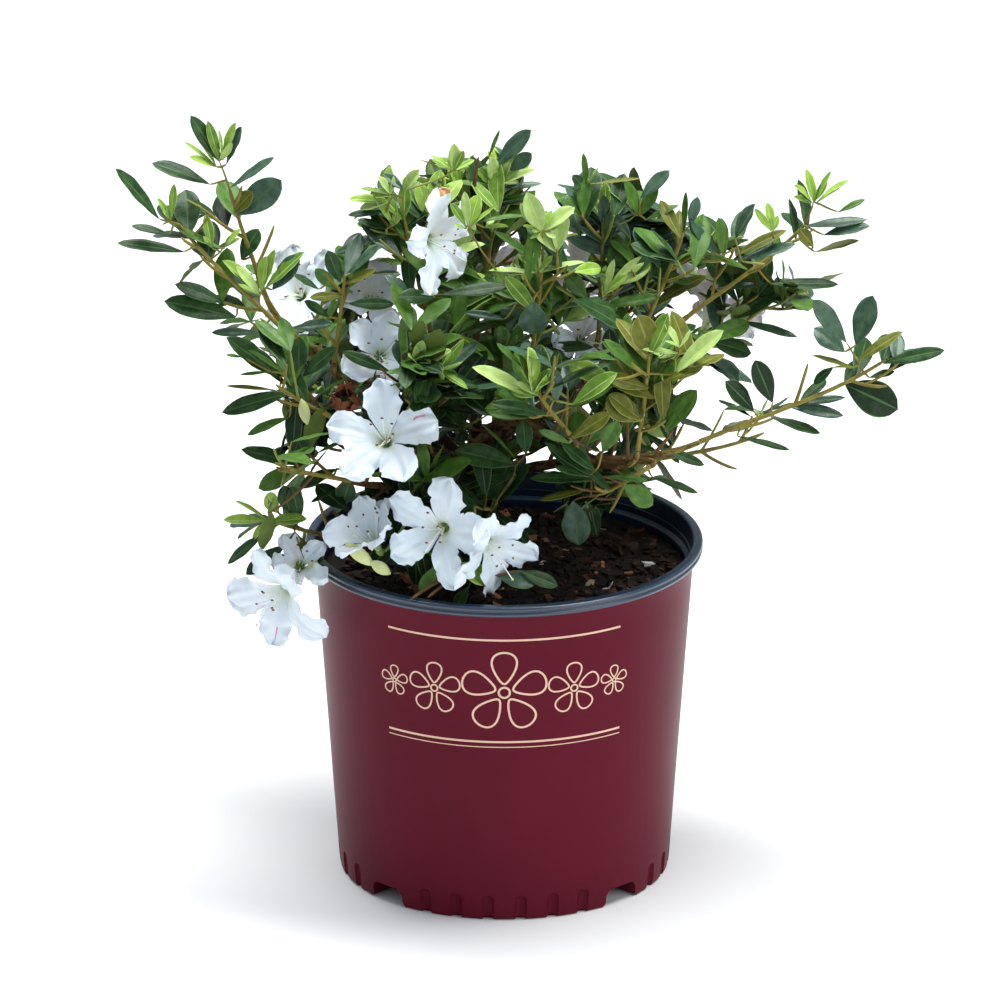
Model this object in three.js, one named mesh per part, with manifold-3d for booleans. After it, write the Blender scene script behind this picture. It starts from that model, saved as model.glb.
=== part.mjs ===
// Azalea shrub in an 11 inch nursery pot. Millimetres, +Z up.
// The origin is the middle of the pot's flat underside, and the shrub's front faces -Y.

import * as THREE from 'three';
import { mergeVertices } from 'three/addons/utils/BufferGeometryUtils.js';
import Module from 'manifold-3d';

const wasm = await Module();
wasm.setup();

const GAP = 0.3;                 // clearance between neighbouring pieces

// Pot: sizes of its turned shape
const POT_HEIGHT = 243;
const RIM_RADIUS = 139.7;
const BASE_RADIUS = 116.3;
const WALL_FLARE = 0.0728;       // how far the wall leans out for each millimetre of height
const WALL = 3.2;
const FLOOR = 3;
const POT_SIDES = 40;
const LIP_HEIGHT = 7.6;          // two beads with a groove between them
const LIP_WIDTH = 6;
const LIP_GROOVE = 1.1;
const UPPER_LEDGE = 6;           // depth of the two ledges below the rim, inside
const LOWER_LEDGE = 13.5;
const LEDGE_STEP = 2.6;
const FOOT_CURL = 2.5;           // the wall's foot turns in by this much

// Pot: four feet with drain gaps between them, and the flutes pressed into each foot
const FEET = 4;
const DRAIN_WIDTH = 29;
const DRAIN_HEIGHT = 13;
const DRAIN_DEPTH = 22;
const DRAIN_CORNER = 6;
const FLUTES_PER_FOOT = 6;
const FLUTE_PITCH = 11.25;       // degrees
const FLUTE_RADIUS = 2.6;
const FLUTE_HEIGHT = 11;
const FLUTE_DEPTH = 1.5;
const FLUTE_SIDES = 4;

// Potting mix
const MIX_TOP = 220.5;

// Trunk: short, leaning a little back and to the right, with its flare at the ground
const FORK = new THREE.Vector3(-25, 0, 262);
const TRUNK_FOOT = new THREE.Vector3(-27, -2, MIX_TOP + GAP);
const TRUNK_TOP = new THREE.Vector3(-21, 7, 300);
const TRUNK_LEAN = [40, 80];     // heading and rise of its upper end, degrees
const TRUNK = { start: 12.5, end: 7.5, sides: 9, steps: 6 };
const ROOT_FLARE = 6;
const FLARE_SHARE = 0.3;         // the flare ends this far up the trunk

// Limbs that leave the trunk, and those that leave another limb
const MAIN_LIMB = { start: 6.4, end: 3.2, sides: 5, steps: 4 };
const SIDE_LIMB = { start: 4.6, end: 3, sides: 4, steps: 3 };
const LIMB_PIECES = 8;           // straight pieces that stand for a limb's curve

// Leafy shoots
const STEM = { start: 3.2, end: 2.2, sides: 4, steps: 2 };
const TWIG = { start: 1.6, end: 1.6, sides: 3, steps: 1 };
const STEM_PIECES = 4;
const SIDE_SHOOTS = 3;
const SHOOT_PLACES = [0.2, 0.8]; // the first and last side shoot, along the stem
const SHOOT_SHARES = [0.62, 0.42];   // length as a share of the spread, at the stem's foot and tip
const SHOOT_VARIETY = 0.1;
const SHOOT_TURN = 45;           // degrees between two tries round the stem
const SHOOT_ANGLE = 50;          // from the stem, degrees
const SHOOT_LIFT = 0.45;         // how strongly a side shoot turns up
const GOLDEN_ANGLE = 137.5;

// Leaves
const LEAF_LENGTH = 48;
const LEAF_WIDTH = 20;
const LEAF_WIDEST = 0.55;        // the widest place, as a share of the length
const LEAF_RIDGE = 1.3;          // the thickest place, above and below the blade's plane
const LEAF_RIDGE_PLACE = 0.25;
const LEAF_SINK = 0.6;           // the root passes the twig's axis by this much
const LEAF_DROOP = 0.06;
const LEAF_VARIETY = 0.14;
const LEAF_ANGLE = 58;           // from the shoot, degrees
const LEAF_ANGLE_VARIETY = 0.15;
const LEAF_PITCH = 3.2;          // between the roots of a whorl, along the shoot
const LEAF_LOWEST = 0.3;         // no leaf grows nearer to the shoot's foot than this share
const STEM_LEAVES = 6;
const TWIG_LEAVES = 4;
const LEAF_TRIES = 5;            // turns round the shoot in search of room
const LEAF_SPACE = 10;           // between a leaf and the middle of its neighbours

// Blooms: a funnel with five lobes
const LOBES = 5;
const BLOOM_RADIUS = 38;
const BLOOM_SINUS = 0.5;         // between two lobes, as a share of the radius
const BLOOM_DEPTH = 24;          // from the lobes' tips back to the stalk
const BLOOM_THROAT = 9;
const LOBE_TRIM = 0.85;          // a lobe that finds no room is cut back by this factor
const STALK = { start: 1.7, end: 1.5, sides: 3, steps: 1 };
const STALK_PIECES = 6;

// Room: what a mass of foliage may fill
const BORDER = 0.04;             // of a mass's spread, left free between two masses
const BLOOM_ROOM = { radius: 41, back: 28, front: 10 };   // only its own mass grows there
const LIMB_CLEARANCE = 2.2;
const POT_CLEARANCE = 3.5;
const SAMPLE_STEP = 7;           // between two points of a shoot that are tested for room

// How the shrub grows. Each row is one limb and the mass of foliage at its end: the name, the
// limb it leaves and how far along that is, then heading, rise and reach of the limb's end
// from the fork, the same of the shoot from the limb's end, and the spread of the mass. A row
// with no limb of its own grows on the trunk itself.
const GROWTH = [
  ['left_top', 'trunk', 0.78, [186, 50, 224], [189, 73, 80], 62],
  ['crown_top', 'trunk', 1, [62, 84, 152], [344, 80, 94], 62],
  ['crown_mid', 'trunk', 0.9, [311, 62, 139], [298, 78, 88], 62],
  ['right_upper', 'trunk', 0.84, [7, 42, 208], [7, 38, 104], 64],
  ['right_low', 'trunk', 0.6, [346, 22, 179], [4, 24, 142], 60],
  ['left_low', 'trunk', 0.5, [216, 24, 111], [202, 21, 60], 56],
  ['back_left', 'trunk', 0.62, [126, 34, 104], [128, 34, 105], 72],
  ['back_right', 'trunk', 0.7, [43, 32, 150], [56, 46, 104], 74],
  ['back_centre', 'trunk', 0.95, [87, 49, 128], [80, 55, 96], 70],
  ['back_low', 'trunk', 0.42, [80, 13, 100], [87, 28, 100], 66],
  ['left_far', 'left_top', 0.7, [195, 48, 198], [184, 48, 108], 56],
  ['left_inner', 'left_top', 0.5, [206, 51, 165], [325, 82, 66], 56],
  ['left_mid', 'left_low', 0.55, [215, 40, 135], [192, 34, 60], 54],
  ['left_base', 'left_low', 0.35, [208, -3, 95], [196, 22, 66], 52],
  ['crown_left', 'crown_top', 0.5, [216, 77, 146], [205, 77, 88], 58],
  ['centre_left', 'crown_mid', 0.35, [246, 46, 92], [235, 67, 90], 58],
  ['front_lime', 'crown_mid', 0.5, [310, 37, 143], [227, 51, 64], 54],
  ['right_top', 'right_upper', 0.4, [0, 56, 163], [0, 88, 84], 60],
  ['right_high', 'right_upper', 0.62, [353, 49, 187], [351, 69, 78], 56],
  ['right_mid', 'right_upper', 0.55, [19, 30, 178], [7, 36, 94], 58],
  ['front_gold', 'right_low', 0.5, [326, 28, 161], [283, 68, 88], 56],
  ['front_low', 'right_low', 0.6, [339, 21, 146], [205, -20, 44], 50],
  ['right_under', 'back_right', 0.42, [27, 6, 133], [12, 10, 94], 58],
  ['back_low_left', 'back_left', 0.45, [119, 13, 95], [130, 20, 105], 64],
  ['back_low_right', 'back_right', 0.5, [42, 10, 122], [53, 22, 106], 64],
  ['front_left', 'trunk', 0.3, null, [238, 34, 98], 56],
  ['front_right', 'trunk', 0.36, null, [285, 32, 96], 56],
].map(([name, from, along, bough, shoot, spread]) => ({ name, from, along, bough, shoot, spread }));

// Blooms that show from a step away: the mass each is fused to, heading, rise and reach of
// its throat from the fork, and the way its face looks.
const BLOOMS = [
  { mass: 'centre_left', throat: [242, 38, 158], face: [268, 14] },
  { mass: 'crown_left', throat: [247, 73, 232], face: [305, 22] },
  { mass: 'front_left', throat: [252, 7, 129], face: [262, 6] },
  { mass: 'front_right', throat: [277, 10, 119], face: [296, 4] },
  { mass: 'front_left', throat: [230, 11, 123], face: [196, 38] },
  { mass: 'left_base', throat: [209, -12, 159], face: [232, -14] },
  { mass: 'left_inner', throat: [168, 52, 200], face: [250, 45] },
  { mass: 'left_inner', throat: [193, 68, 182], face: [290, 45] },
  { mass: 'left_mid', throat: [225, 59, 165], face: [280, 35] },
  { mass: 'crown_mid', throat: [0, 58, 156], face: [300, 38] },
  { mass: 'back_centre', throat: [88, 42, 205], face: [92, 30] },
  { mass: 'back_low_left', throat: [128, 18, 178], face: [138, 18] },
  { mass: 'back_right', throat: [60, 36, 205], face: [62, 30] },
  { mass: 'back_low', throat: [80, 14, 176], face: [84, 12] },
  { mass: 'right_mid', throat: [30, 30, 235], face: [52, 36] },
];

// Looks
const LOOKS = {
  pot: { color: 0x5c1a2a, roughness: 0.42 },
  potting_mix: { color: 0x2e1f18, roughness: 0.95 },
  bark: { color: 0x5a4326, roughness: 0.85 },
  foliage: { color: 0x3f6138, roughness: 0.55 },
};

// Small vector helpers

const vec = (x, y, z) => new THREE.Vector3(x, y, z);
const radians = THREE.MathUtils.degToRad;
const mix = THREE.MathUtils.lerp;

// A direction from a heading (0 along +X, 90 along +Y) and a rise above the level, in degrees.
function toward(heading, rise) {
  const turn = radians(heading);
  const lift = radians(rise);
  return vec(Math.cos(lift) * Math.cos(turn), Math.cos(lift) * Math.sin(turn), Math.sin(lift));
}

// The point that lies a polar offset away from another.
function offsetFrom(point, [heading, rise, reach]) {
  return point.clone().addScaledVector(toward(heading, rise), reach);
}

// A direction that leans away from an axis, turned round it by the azimuth.
function leaning(axis, azimuth, angle) {
  const side = vec(-axis.z, 0, axis.x).addScaledVector(vec(0, 1, 0), 0.35);
  side.addScaledVector(axis, -side.dot(axis)).normalize();
  const across = axis.clone().cross(side);
  const turn = radians(azimuth);
  const tilt = radians(angle);
  const out = side.multiplyScalar(Math.cos(turn)).addScaledVector(across, Math.sin(turn));
  return axis.clone().multiplyScalar(Math.cos(tilt)).addScaledVector(out, Math.sin(tilt));
}

// A repeatable stream of numbers from 0 to 1.
function makeRandom(seed) {
  let state = seed >>> 0;
  return () => {
    state = (state + 0x6D2B79F5) >>> 0;
    let t = state;
    t = Math.imul(t ^ (t >>> 15), t | 1);
    t ^= t + Math.imul(t ^ (t >>> 7), t | 61);
    return ((t ^ (t >>> 14)) >>> 0) / 4294967296;
  };
}

// A factor that is 1, give or take a share.
function varied(share, random) {
  return 1 + share * (2 * random() - 1);
}

// Solids

function toSolid(geometry) {
  geometry.deleteAttribute('normal');
  geometry.deleteAttribute('uv');
  const merged = mergeVertices(geometry, 1e-4);
  return new wasm.Manifold(new wasm.Mesh({
    numProp: 3,
    vertProperties: new Float32Array(merged.attributes.position.array),
    triVerts: new Uint32Array(merged.index.array),
  }));
}

function toGeometry(solid) {
  const mesh = solid.getMesh();
  const geometry = new THREE.BufferGeometry();
  geometry.setAttribute('position', new THREE.BufferAttribute(mesh.vertProperties, 3));
  geometry.setIndex(new THREE.BufferAttribute(mesh.triVerts, 1));
  geometry.computeVertexNormals();
  return geometry;
}

// The biggest body of a solid: loose scraps are dropped and sealed hollows are filled.
function mainBody(solid) {
  return solid.decompose().reduce((best, body) => (body.volume() > best.volume() ? body : best));
}

function joinAll(solids) {
  return solids.reduce((whole, piece) => whole.add(piece));
}

// A closed ring of profile points turned about the Z axis.
function turned(profile) {
  return toSolid(new THREE.LatheGeometry(profile, POT_SIDES).rotateX(Math.PI / 2));
}

// A round tapering limb: a cylinder whose rings are moved onto a curve. Grown by a clearance,
// it is the room that the limb takes up.
function tube(curve, radiusAt, { sides, steps }, grow = 0) {
  const frames = curve.computeFrenetFrames(steps);
  const geometry = new THREE.CylinderGeometry(1, 1, steps, sides, steps);
  const place = geometry.attributes.position;
  for (let i = 0; i < place.count; i++) {
    const ring = Math.round(place.getY(i) + steps / 2);
    const radius = radiusAt(ring / steps) + grow;
    const point = curve.getPointAt(ring / steps);
    if (ring === 0) point.addScaledVector(frames.tangents[0], -grow);
    if (ring === steps) point.addScaledVector(frames.tangents[steps], grow);
    point.addScaledVector(frames.binormals[ring], place.getX(i) * radius);
    point.addScaledVector(frames.normals[ring], place.getZ(i) * radius);
    place.setXYZ(i, point.x, point.y, point.z);
  }
  return toSolid(geometry);
}

const taper = ({ start, end }) => (t) => mix(start, end, t);

// A curve that leaves one point in one direction and reaches another in its own.
function growthCurve(start, startWay, end, endWay) {
  const third = start.distanceTo(end) / 3;
  const leave = start.clone().addScaledVector(startWay, third);
  const arrive = end.clone().addScaledVector(endWay, -third);
  return new THREE.CubicBezierCurve3(start, leave, arrive, end);
}

// A leaf is a stretched octahedron: heel, tip, two sides at the widest place, ridge and keel.
function leafShape(root, way, face, scale) {
  const across = way.clone().cross(face);
  const length = LEAF_LENGTH * scale;
  const along = (distance) => root.clone().addScaledVector(way, distance);
  const half = LEAF_WIDTH * scale / 2;
  return {
    heel: along(-LEAF_SINK),
    tip: along(length).addScaledVector(face, -LEAF_DROOP * length),
    left: along(LEAF_WIDEST * length).addScaledVector(across, -half),
    right: along(LEAF_WIDEST * length).addScaledVector(across, half),
    ridge: along(LEAF_RIDGE_PLACE * length).addScaledVector(face, LEAF_RIDGE),
    keel: along(LEAF_RIDGE_PLACE * length).addScaledVector(face, -LEAF_RIDGE),
  };
}

function leafSamples({ heel, tip, left, right }) {
  const samples = [0.3, 0.65, 1].map((t) => heel.clone().lerp(tip, t));
  for (const side of [left, right]) {
    samples.push(side, side.clone().lerp(tip, 0.5), side.clone().lerp(heel, 0.4));
  }
  return samples;
}

// Whether two leaves of a mass stay apart beyond their roots.
function isApart(shape, other) {
  const middle = (leaf) => [leaf.heel.clone().lerp(leaf.tip, 0.4), leaf.tip];
  const isClear = (leaf, path) => [leaf.tip, leaf.left, leaf.right].every(
    (point) => distanceToPath(point, path) > LEAF_SPACE);
  return isClear(shape, middle(other)) && isClear(other, middle(shape));
}

function leafSolid({ heel, tip, left, right, ridge, keel }) {
  const geometry = new THREE.OctahedronGeometry(1);
  const place = geometry.attributes.position;
  for (let i = 0; i < place.count; i++) {
    const [x, y, z] = [place.getX(i), place.getY(i), place.getZ(i)].map(Math.round);
    const ends = z > 0 ? tip : heel;
    const sides = x > 0 ? left : right;
    const middles = y > 0 ? ridge : keel;
    const point = z !== 0 ? ends : x !== 0 ? sides : middles;
    place.setXYZ(i, point.x, point.y, point.z);
  }
  return toSolid(geometry);
}

// Pot and potting mix

const outerRadius = (z) => BASE_RADIUS + WALL_FLARE * z;
const innerRadius = (z) => outerRadius(z) - WALL;

function potProfile() {
  const lipFoot = POT_HEIGHT - LIP_HEIGHT;
  const lipInside = RIM_RADIUS - LIP_WIDTH;
  const upper = POT_HEIGHT - UPPER_LEDGE;
  const lower = POT_HEIGHT - LOWER_LEDGE;
  const lowerRadius = innerRadius(lower);
  const upperRadius = lowerRadius + LEDGE_STEP;
  const bead = LIP_HEIGHT / 4;
  return [
    [0, 0],
    [BASE_RADIUS - FOOT_CURL, 0],
    [outerRadius(FOOT_CURL), FOOT_CURL],
    [outerRadius(lipFoot), lipFoot],
    [RIM_RADIUS - LIP_GROOVE, lipFoot],
    [RIM_RADIUS, lipFoot + bead],
    [RIM_RADIUS - LIP_GROOVE, lipFoot + 2 * bead],
    [RIM_RADIUS, lipFoot + 3 * bead],
    [RIM_RADIUS - LIP_GROOVE, POT_HEIGHT],
    [lipInside, POT_HEIGHT],
    [upperRadius, upper],
    [lowerRadius, upper - LEDGE_STEP],
    [lowerRadius, lower],
    [innerRadius(FLOOR), FLOOR],
    [0, FLOOR],
  ].map(([r, z]) => new THREE.Vector2(r, z));
}

// An arched block that lies along a radius of the pot, grown by a margin on every side.
function drainBlock(angle, inner, outer, grow) {
  const half = DRAIN_WIDTH / 2 + grow;
  const height = DRAIN_HEIGHT + grow;
  const arch = new THREE.Shape();
  arch.moveTo(-half, -POT_CLEARANCE);
  arch.lineTo(half, -POT_CLEARANCE);
  arch.lineTo(half, height - DRAIN_CORNER);
  arch.absarc(half - DRAIN_CORNER, height - DRAIN_CORNER, DRAIN_CORNER, 0, Math.PI / 2, false);
  arch.absarc(-half + DRAIN_CORNER, height - DRAIN_CORNER, DRAIN_CORNER, Math.PI / 2, Math.PI, false);
  const geometry = new THREE.ExtrudeGeometry(arch, {
    depth: outer - inner, curveSegments: 2, bevelEnabled: false,
  });
  geometry.rotateX(Math.PI / 2).translate(0, outer, 0).rotateZ(radians(angle - 90));
  return toSolid(geometry);
}

const drainAngles = Array.from({ length: FEET }, (_, foot) => (foot + 0.5) * 360 / FEET);
const drainBack = BASE_RADIUS - DRAIN_DEPTH;

function drainPockets(grow) {
  const front = BASE_RADIUS - WALL / 2;
  return joinAll(drainAngles.map((angle) => drainBlock(angle, drainBack - grow, front, grow)));
}

// Everything of a solid above a level: a block cuts the rest away.
function above(solid, level) {
  const size = 2 * RIM_RADIUS;
  const block = new THREE.BoxGeometry(size, size, size).translate(0, 0, level - size / 2);
  return solid.subtract(toSolid(block));
}

function makeFlutes() {
  const cutters = [];
  for (let foot = 0; foot < FEET; foot++) {
    for (let i = 0; i < FLUTES_PER_FOOT; i++) {
      const angle = radians(foot * 360 / FEET + (i - (FLUTES_PER_FOOT - 1) / 2) * FLUTE_PITCH);
      const reach = BASE_RADIUS + FLUTE_RADIUS - FLUTE_DEPTH;
      const cutter = new THREE.CylinderGeometry(
        FLUTE_RADIUS / 2, FLUTE_RADIUS, 2 * FLUTE_HEIGHT, FLUTE_SIDES,
      );
      cutter.rotateX(Math.PI / 2).translate(reach * Math.cos(angle), reach * Math.sin(angle), 0);
      cutters.push(toSolid(cutter));
    }
  }
  return joinAll(cutters);
}

function makePot() {
  const drains = drainAngles.map((angle) => drainBlock(angle, drainBack, RIM_RADIUS, 0));
  const shell = turned(potProfile()).add(above(drainPockets(WALL), 0));
  return mainBody(shell.subtract(joinAll(drains)).subtract(makeFlutes()));
}

function makePottingMix() {
  const profile = [
    [0, FLOOR + GAP],
    [innerRadius(FLOOR) - GAP, FLOOR + GAP],
    [innerRadius(MIX_TOP) - GAP, MIX_TOP],
    [0, MIX_TOP],
  ].map(([r, z]) => new THREE.Vector2(r, z));
  return mainBody(turned(profile).subtract(drainPockets(WALL + GAP)));
}

// Trunk and limbs

const limbs = [];

function pathOf(curve, pieces) {
  return Array.from({ length: pieces + 1 }, (_, i) => curve.getPoint(i / pieces));
}

// A limb is cut clear of every limb that was made before it.
function addLimb(name, curve, radiusAt, shape) {
  const room = tube(curve, radiusAt, shape, GAP);
  let solid = tube(curve, radiusAt, shape);
  for (const other of limbs) solid = solid.subtract(other.room);
  const path = pathOf(curve, LIMB_PIECES);
  limbs.push({ name, curve, room, solid: mainBody(solid), path, radius: radiusAt(0.5) });
}

function trunkRadius(t) {
  const flare = Math.max(0, 1 - t / FLARE_SHARE);
  return mix(TRUNK.start, TRUNK.end, t) + ROOT_FLARE * flare * flare;
}

function growTrunk() {
  const curve = growthCurve(TRUNK_FOOT, vec(0, 0, 1), TRUNK_TOP, toward(...TRUNK_LEAN));
  addLimb('trunk', curve, trunkRadius, TRUNK);
}

function growBough(row) {
  const parent = limbs.find((limb) => limb.name === row.from);
  const shape = row.from === 'trunk' ? MAIN_LIMB : SIDE_LIMB;
  const start = parent.curve.getPoint(row.along);
  const end = offsetFrom(FORK, row.bough);
  const startWay = parent.curve.getTangent(row.along).add(end.clone().sub(start).normalize()).normalize();
  const [heading, rise] = row.shoot;
  const curve = growthCurve(start, startWay, end, toward(heading, rise));
  addLimb(row.name, curve, taper(shape), shape);
}

// Masses of foliage

// The stem of a mass starts a clearance beyond its bough, or on the trunk's own axis.
function planMass(row, index) {
  const [heading, rise] = row.shoot;
  const way = toward(heading, rise);
  const limb = limbs.find((other) => other.name === (row.bough ? row.name : row.from));
  const start = row.bough
    ? limb.curve.getPoint(1).addScaledVector(way, GAP)
    : limb.curve.getPoint(row.along);
  const end = offsetFrom(start, row.shoot);
  const curve = growthCurve(start, way, end, way.clone().add(vec(0, 0, SHOOT_LIFT / 2)).normalize());
  const blooms = BLOOMS.filter((bloom) => bloom.mass === row.name).map((bloom) => ({
    centre: offsetFrom(FORK, bloom.throat),
    face: toward(...bloom.face),
  }));
  return { ...row, curve, path: pathOf(curve, STEM_PIECES), blooms, seed: index + 1 };
}

const nearest = new THREE.Vector3();
const stretch = new THREE.Line3();

function distanceToPath(point, path) {
  let best = Infinity;
  for (let i = 1; i < path.length; i++) {
    stretch.set(path[i - 1], path[i]).closestPointToPoint(point, true, nearest);
    best = Math.min(best, nearest.distanceTo(point));
  }
  return best;
}

// A short cylinder round a bloom is its own room.
function isInBloomRoom({ centre, face }, point) {
  const offset = point.clone().sub(centre);
  const depth = offset.dot(face);
  const out = offset.addScaledVector(face, -depth).length();
  return out < BLOOM_ROOM.radius && depth > -BLOOM_ROOM.back && depth < BLOOM_ROOM.front;
}

// How near a point is to a mass, as a share of the mass's spread.
function nearness(mass, point) {
  if (mass.blooms.some((bloom) => isInBloomRoom(bloom, point))) return 0;
  return distanceToPath(point, mass.path) / mass.spread;
}

function isClearOfPot(point) {
  const out = Math.hypot(point.x, point.y);
  const inside = out < innerRadius(MIX_TOP) - LEDGE_STEP - POT_CLEARANCE && point.z > MIX_TOP + POT_CLEARANCE;
  const outside = out > RIM_RADIUS + POT_CLEARANCE && point.z > POT_CLEARANCE;
  return point.z > POT_HEIGHT + POT_CLEARANCE || inside || outside;
}

// A mass owns the points that are nearer to it than to any other mass, within its spread.
function isFree(mass, point) {
  const own = nearness(mass, point);
  if (own > 1 || !isClearOfPot(point)) return false;
  if (limbs.some((limb) => distanceToPath(point, limb.path) < limb.radius + LIMB_CLEARANCE)) return false;
  return masses.every((other) => other === mass
    || (nearness(other, point) >= own + BORDER
      && distanceToPath(point, other.path) > STEM.start + LIMB_CLEARANCE));
}

// Side shoots spiral up the stem. One that finds no room is turned on round the stem, and
// after a full turn it is left out.
function planShoots(mass) {
  const random = makeRandom(mass.seed);
  const shoots = [{ curve: mass.curve, azimuth: 360 * random(), leaves: STEM_LEAVES }];
  for (let i = 0; i < SIDE_SHOOTS; i++) {
    const station = mix(...SHOOT_PLACES, i / (SIDE_SHOOTS - 1));
    const start = mass.curve.getPoint(station);
    const axis = mass.curve.getTangent(station);
    const length = mass.spread * mix(...SHOOT_SHARES, station) * varied(SHOOT_VARIETY, random);
    const azimuth = shoots[0].azimuth + GOLDEN_ANGLE * i;
    for (let turn = 0; turn < 360; turn += SHOOT_TURN) {
      const way = leaning(axis, azimuth + turn, SHOOT_ANGLE);
      const endWay = way.clone().add(vec(0, 0, SHOOT_LIFT)).normalize();
      const end = start.clone().addScaledVector(way.clone().add(endWay), length / 2);
      const curve = growthCurve(start, way, end, endWay);
      const samples = pathOf(curve, Math.ceil(length / SAMPLE_STEP)).slice(2);
      if (samples.every((point) => isFree(mass, point))) {
        shoots.push({ curve, azimuth: 360 * random(), leaves: TWIG_LEAVES });
        break;
      }
    }
  }
  return shoots;
}

// Leaves spiral down from a shoot's tip: a close whorl, then wider apart. One that finds no
// room is turned round the shoot, and left out after a full turn.
function addLeaves(mass, shoot, random, leaves) {
  const length = shoot.curve.getLength();
  for (let i = 0; i < shoot.leaves; i++) {
    const back = LEAF_PITCH * (i + 0.5) * (i < TWIG_LEAVES ? 1 : i / 2);
    const station = Math.max(LEAF_LOWEST, 1 - back / length);
    const scale = varied(LEAF_VARIETY, random);
    const angle = LEAF_ANGLE * varied(LEAF_ANGLE_VARIETY, random);
    const axis = shoot.curve.getTangent(station);
    for (let turn = 0; turn < LEAF_TRIES; turn++) {
      const azimuth = shoot.azimuth + GOLDEN_ANGLE * i + 360 * turn / LEAF_TRIES;
      const way = leaning(axis, azimuth, angle);
      const face = axis.clone().addScaledVector(way, -axis.dot(way)).normalize();
      const shape = leafShape(shoot.curve.getPoint(station), way, face, scale);
      const isAlone = leaves.every((other) => isApart(shape, other));
      if (isAlone && leafSamples(shape).every((point) => isFree(mass, point))) {
        leaves.push(shape);
        break;
      }
    }
  }
}

// A bloom is a cone whose rim is drawn out into lobes. A lobe that finds no room is shorter.
function bloomSolid(mass, { centre, face }) {
  const points = 2 * LOBES;
  const geometry = new THREE.ConeGeometry(1, 1, points);
  const place = geometry.attributes.position;
  const rim = Array.from({ length: points }, (_, i) => {
    const way = leaning(face, 360 * i / points, 90);
    let radius = i % 2 === 0 ? BLOOM_RADIUS : BLOOM_RADIUS * BLOOM_SINUS;
    const at = () => centre.clone().addScaledVector(way, radius);
    while (radius > BLOOM_THROAT && !isFree(mass, at())) radius *= LOBE_TRIM;
    return at();
  });
  for (let i = 0; i < place.count; i++) {
    const [x, y, z] = [place.getX(i), place.getY(i), place.getZ(i)];
    const turn = Math.round(points - Math.atan2(x, z) / (2 * Math.PI) * points) % points;
    const depth = y > 0 ? -BLOOM_DEPTH : -BLOOM_THROAT;
    const point = Math.hypot(x, z) > 0.5 ? rim[turn] : centre.clone().addScaledVector(face, depth);
    place.setXYZ(i, point.x, point.y, point.z);
  }
  return toSolid(geometry);
}

// The stalk joins a bloom to the nearest point of its mass's shoots, on a way past the pot.
function stalkSolid({ centre, face }, shoots) {
  const base = centre.clone().addScaledVector(face, -BLOOM_DEPTH);
  const isOpen = (root) => pathOf(new THREE.LineCurve3(root, base), STALK_PIECES).every(isClearOfPot);
  const roots = shoots.flatMap((shoot) => pathOf(shoot.curve, STALK_PIECES).slice(1)).filter(isOpen);
  const root = roots.reduce((best, point) => (point.distanceTo(base) < best.distanceTo(base) ? point : best));
  const end = base.clone().addScaledVector(face, BLOOM_THROAT);
  return tube(new THREE.LineCurve3(root, end), taper(STALK), STALK);
}

function makeMass(mass) {
  const shoots = planShoots(mass);
  const random = makeRandom(mass.seed + GROWTH.length);
  const solids = shoots.map(({ curve }, i) => {
    const shape = i === 0 ? STEM : TWIG;
    return tube(curve, taper(shape), shape);
  });
  const leaves = [];
  for (const shoot of shoots) addLeaves(mass, shoot, random, leaves);
  solids.push(...leaves.map(leafSolid));
  for (const bloom of mass.blooms) solids.push(bloomSolid(mass, bloom), stalkSolid(bloom, shoots));
  return mainBody(limbs.reduce((rest, limb) => rest.subtract(limb.room), joinAll(solids)));
}

// Assembly

const shrub = new THREE.Group();

function addPiece(name, solid, { color, roughness }) {
  const mesh = new THREE.Mesh(
    toGeometry(solid),
    new THREE.MeshStandardMaterial({ color, roughness, metalness: 0 }),
  );
  mesh.name = name;
  shrub.add(mesh);
}

growTrunk();
GROWTH.filter((row) => row.bough).forEach(growBough);
const masses = GROWTH.map(planMass);

addPiece('pot', makePot(), LOOKS.pot);
addPiece('potting_mix', makePottingMix(), LOOKS.potting_mix);
for (const limb of limbs) {
  addPiece(limb.name === 'trunk' ? 'trunk' : `bough_${limb.name}`, limb.solid, LOOKS.bark);
}
for (const mass of masses) addPiece(`foliage_${mass.name}`, makeMass(mass), LOOKS.foliage);

export default shrub;
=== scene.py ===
"""How an azalea shrub in an 11 inch nursery pot looks.

Sizes are in millimetres, and become metres where a mesh is made. The front faces -Y.
"""

import math

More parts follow.
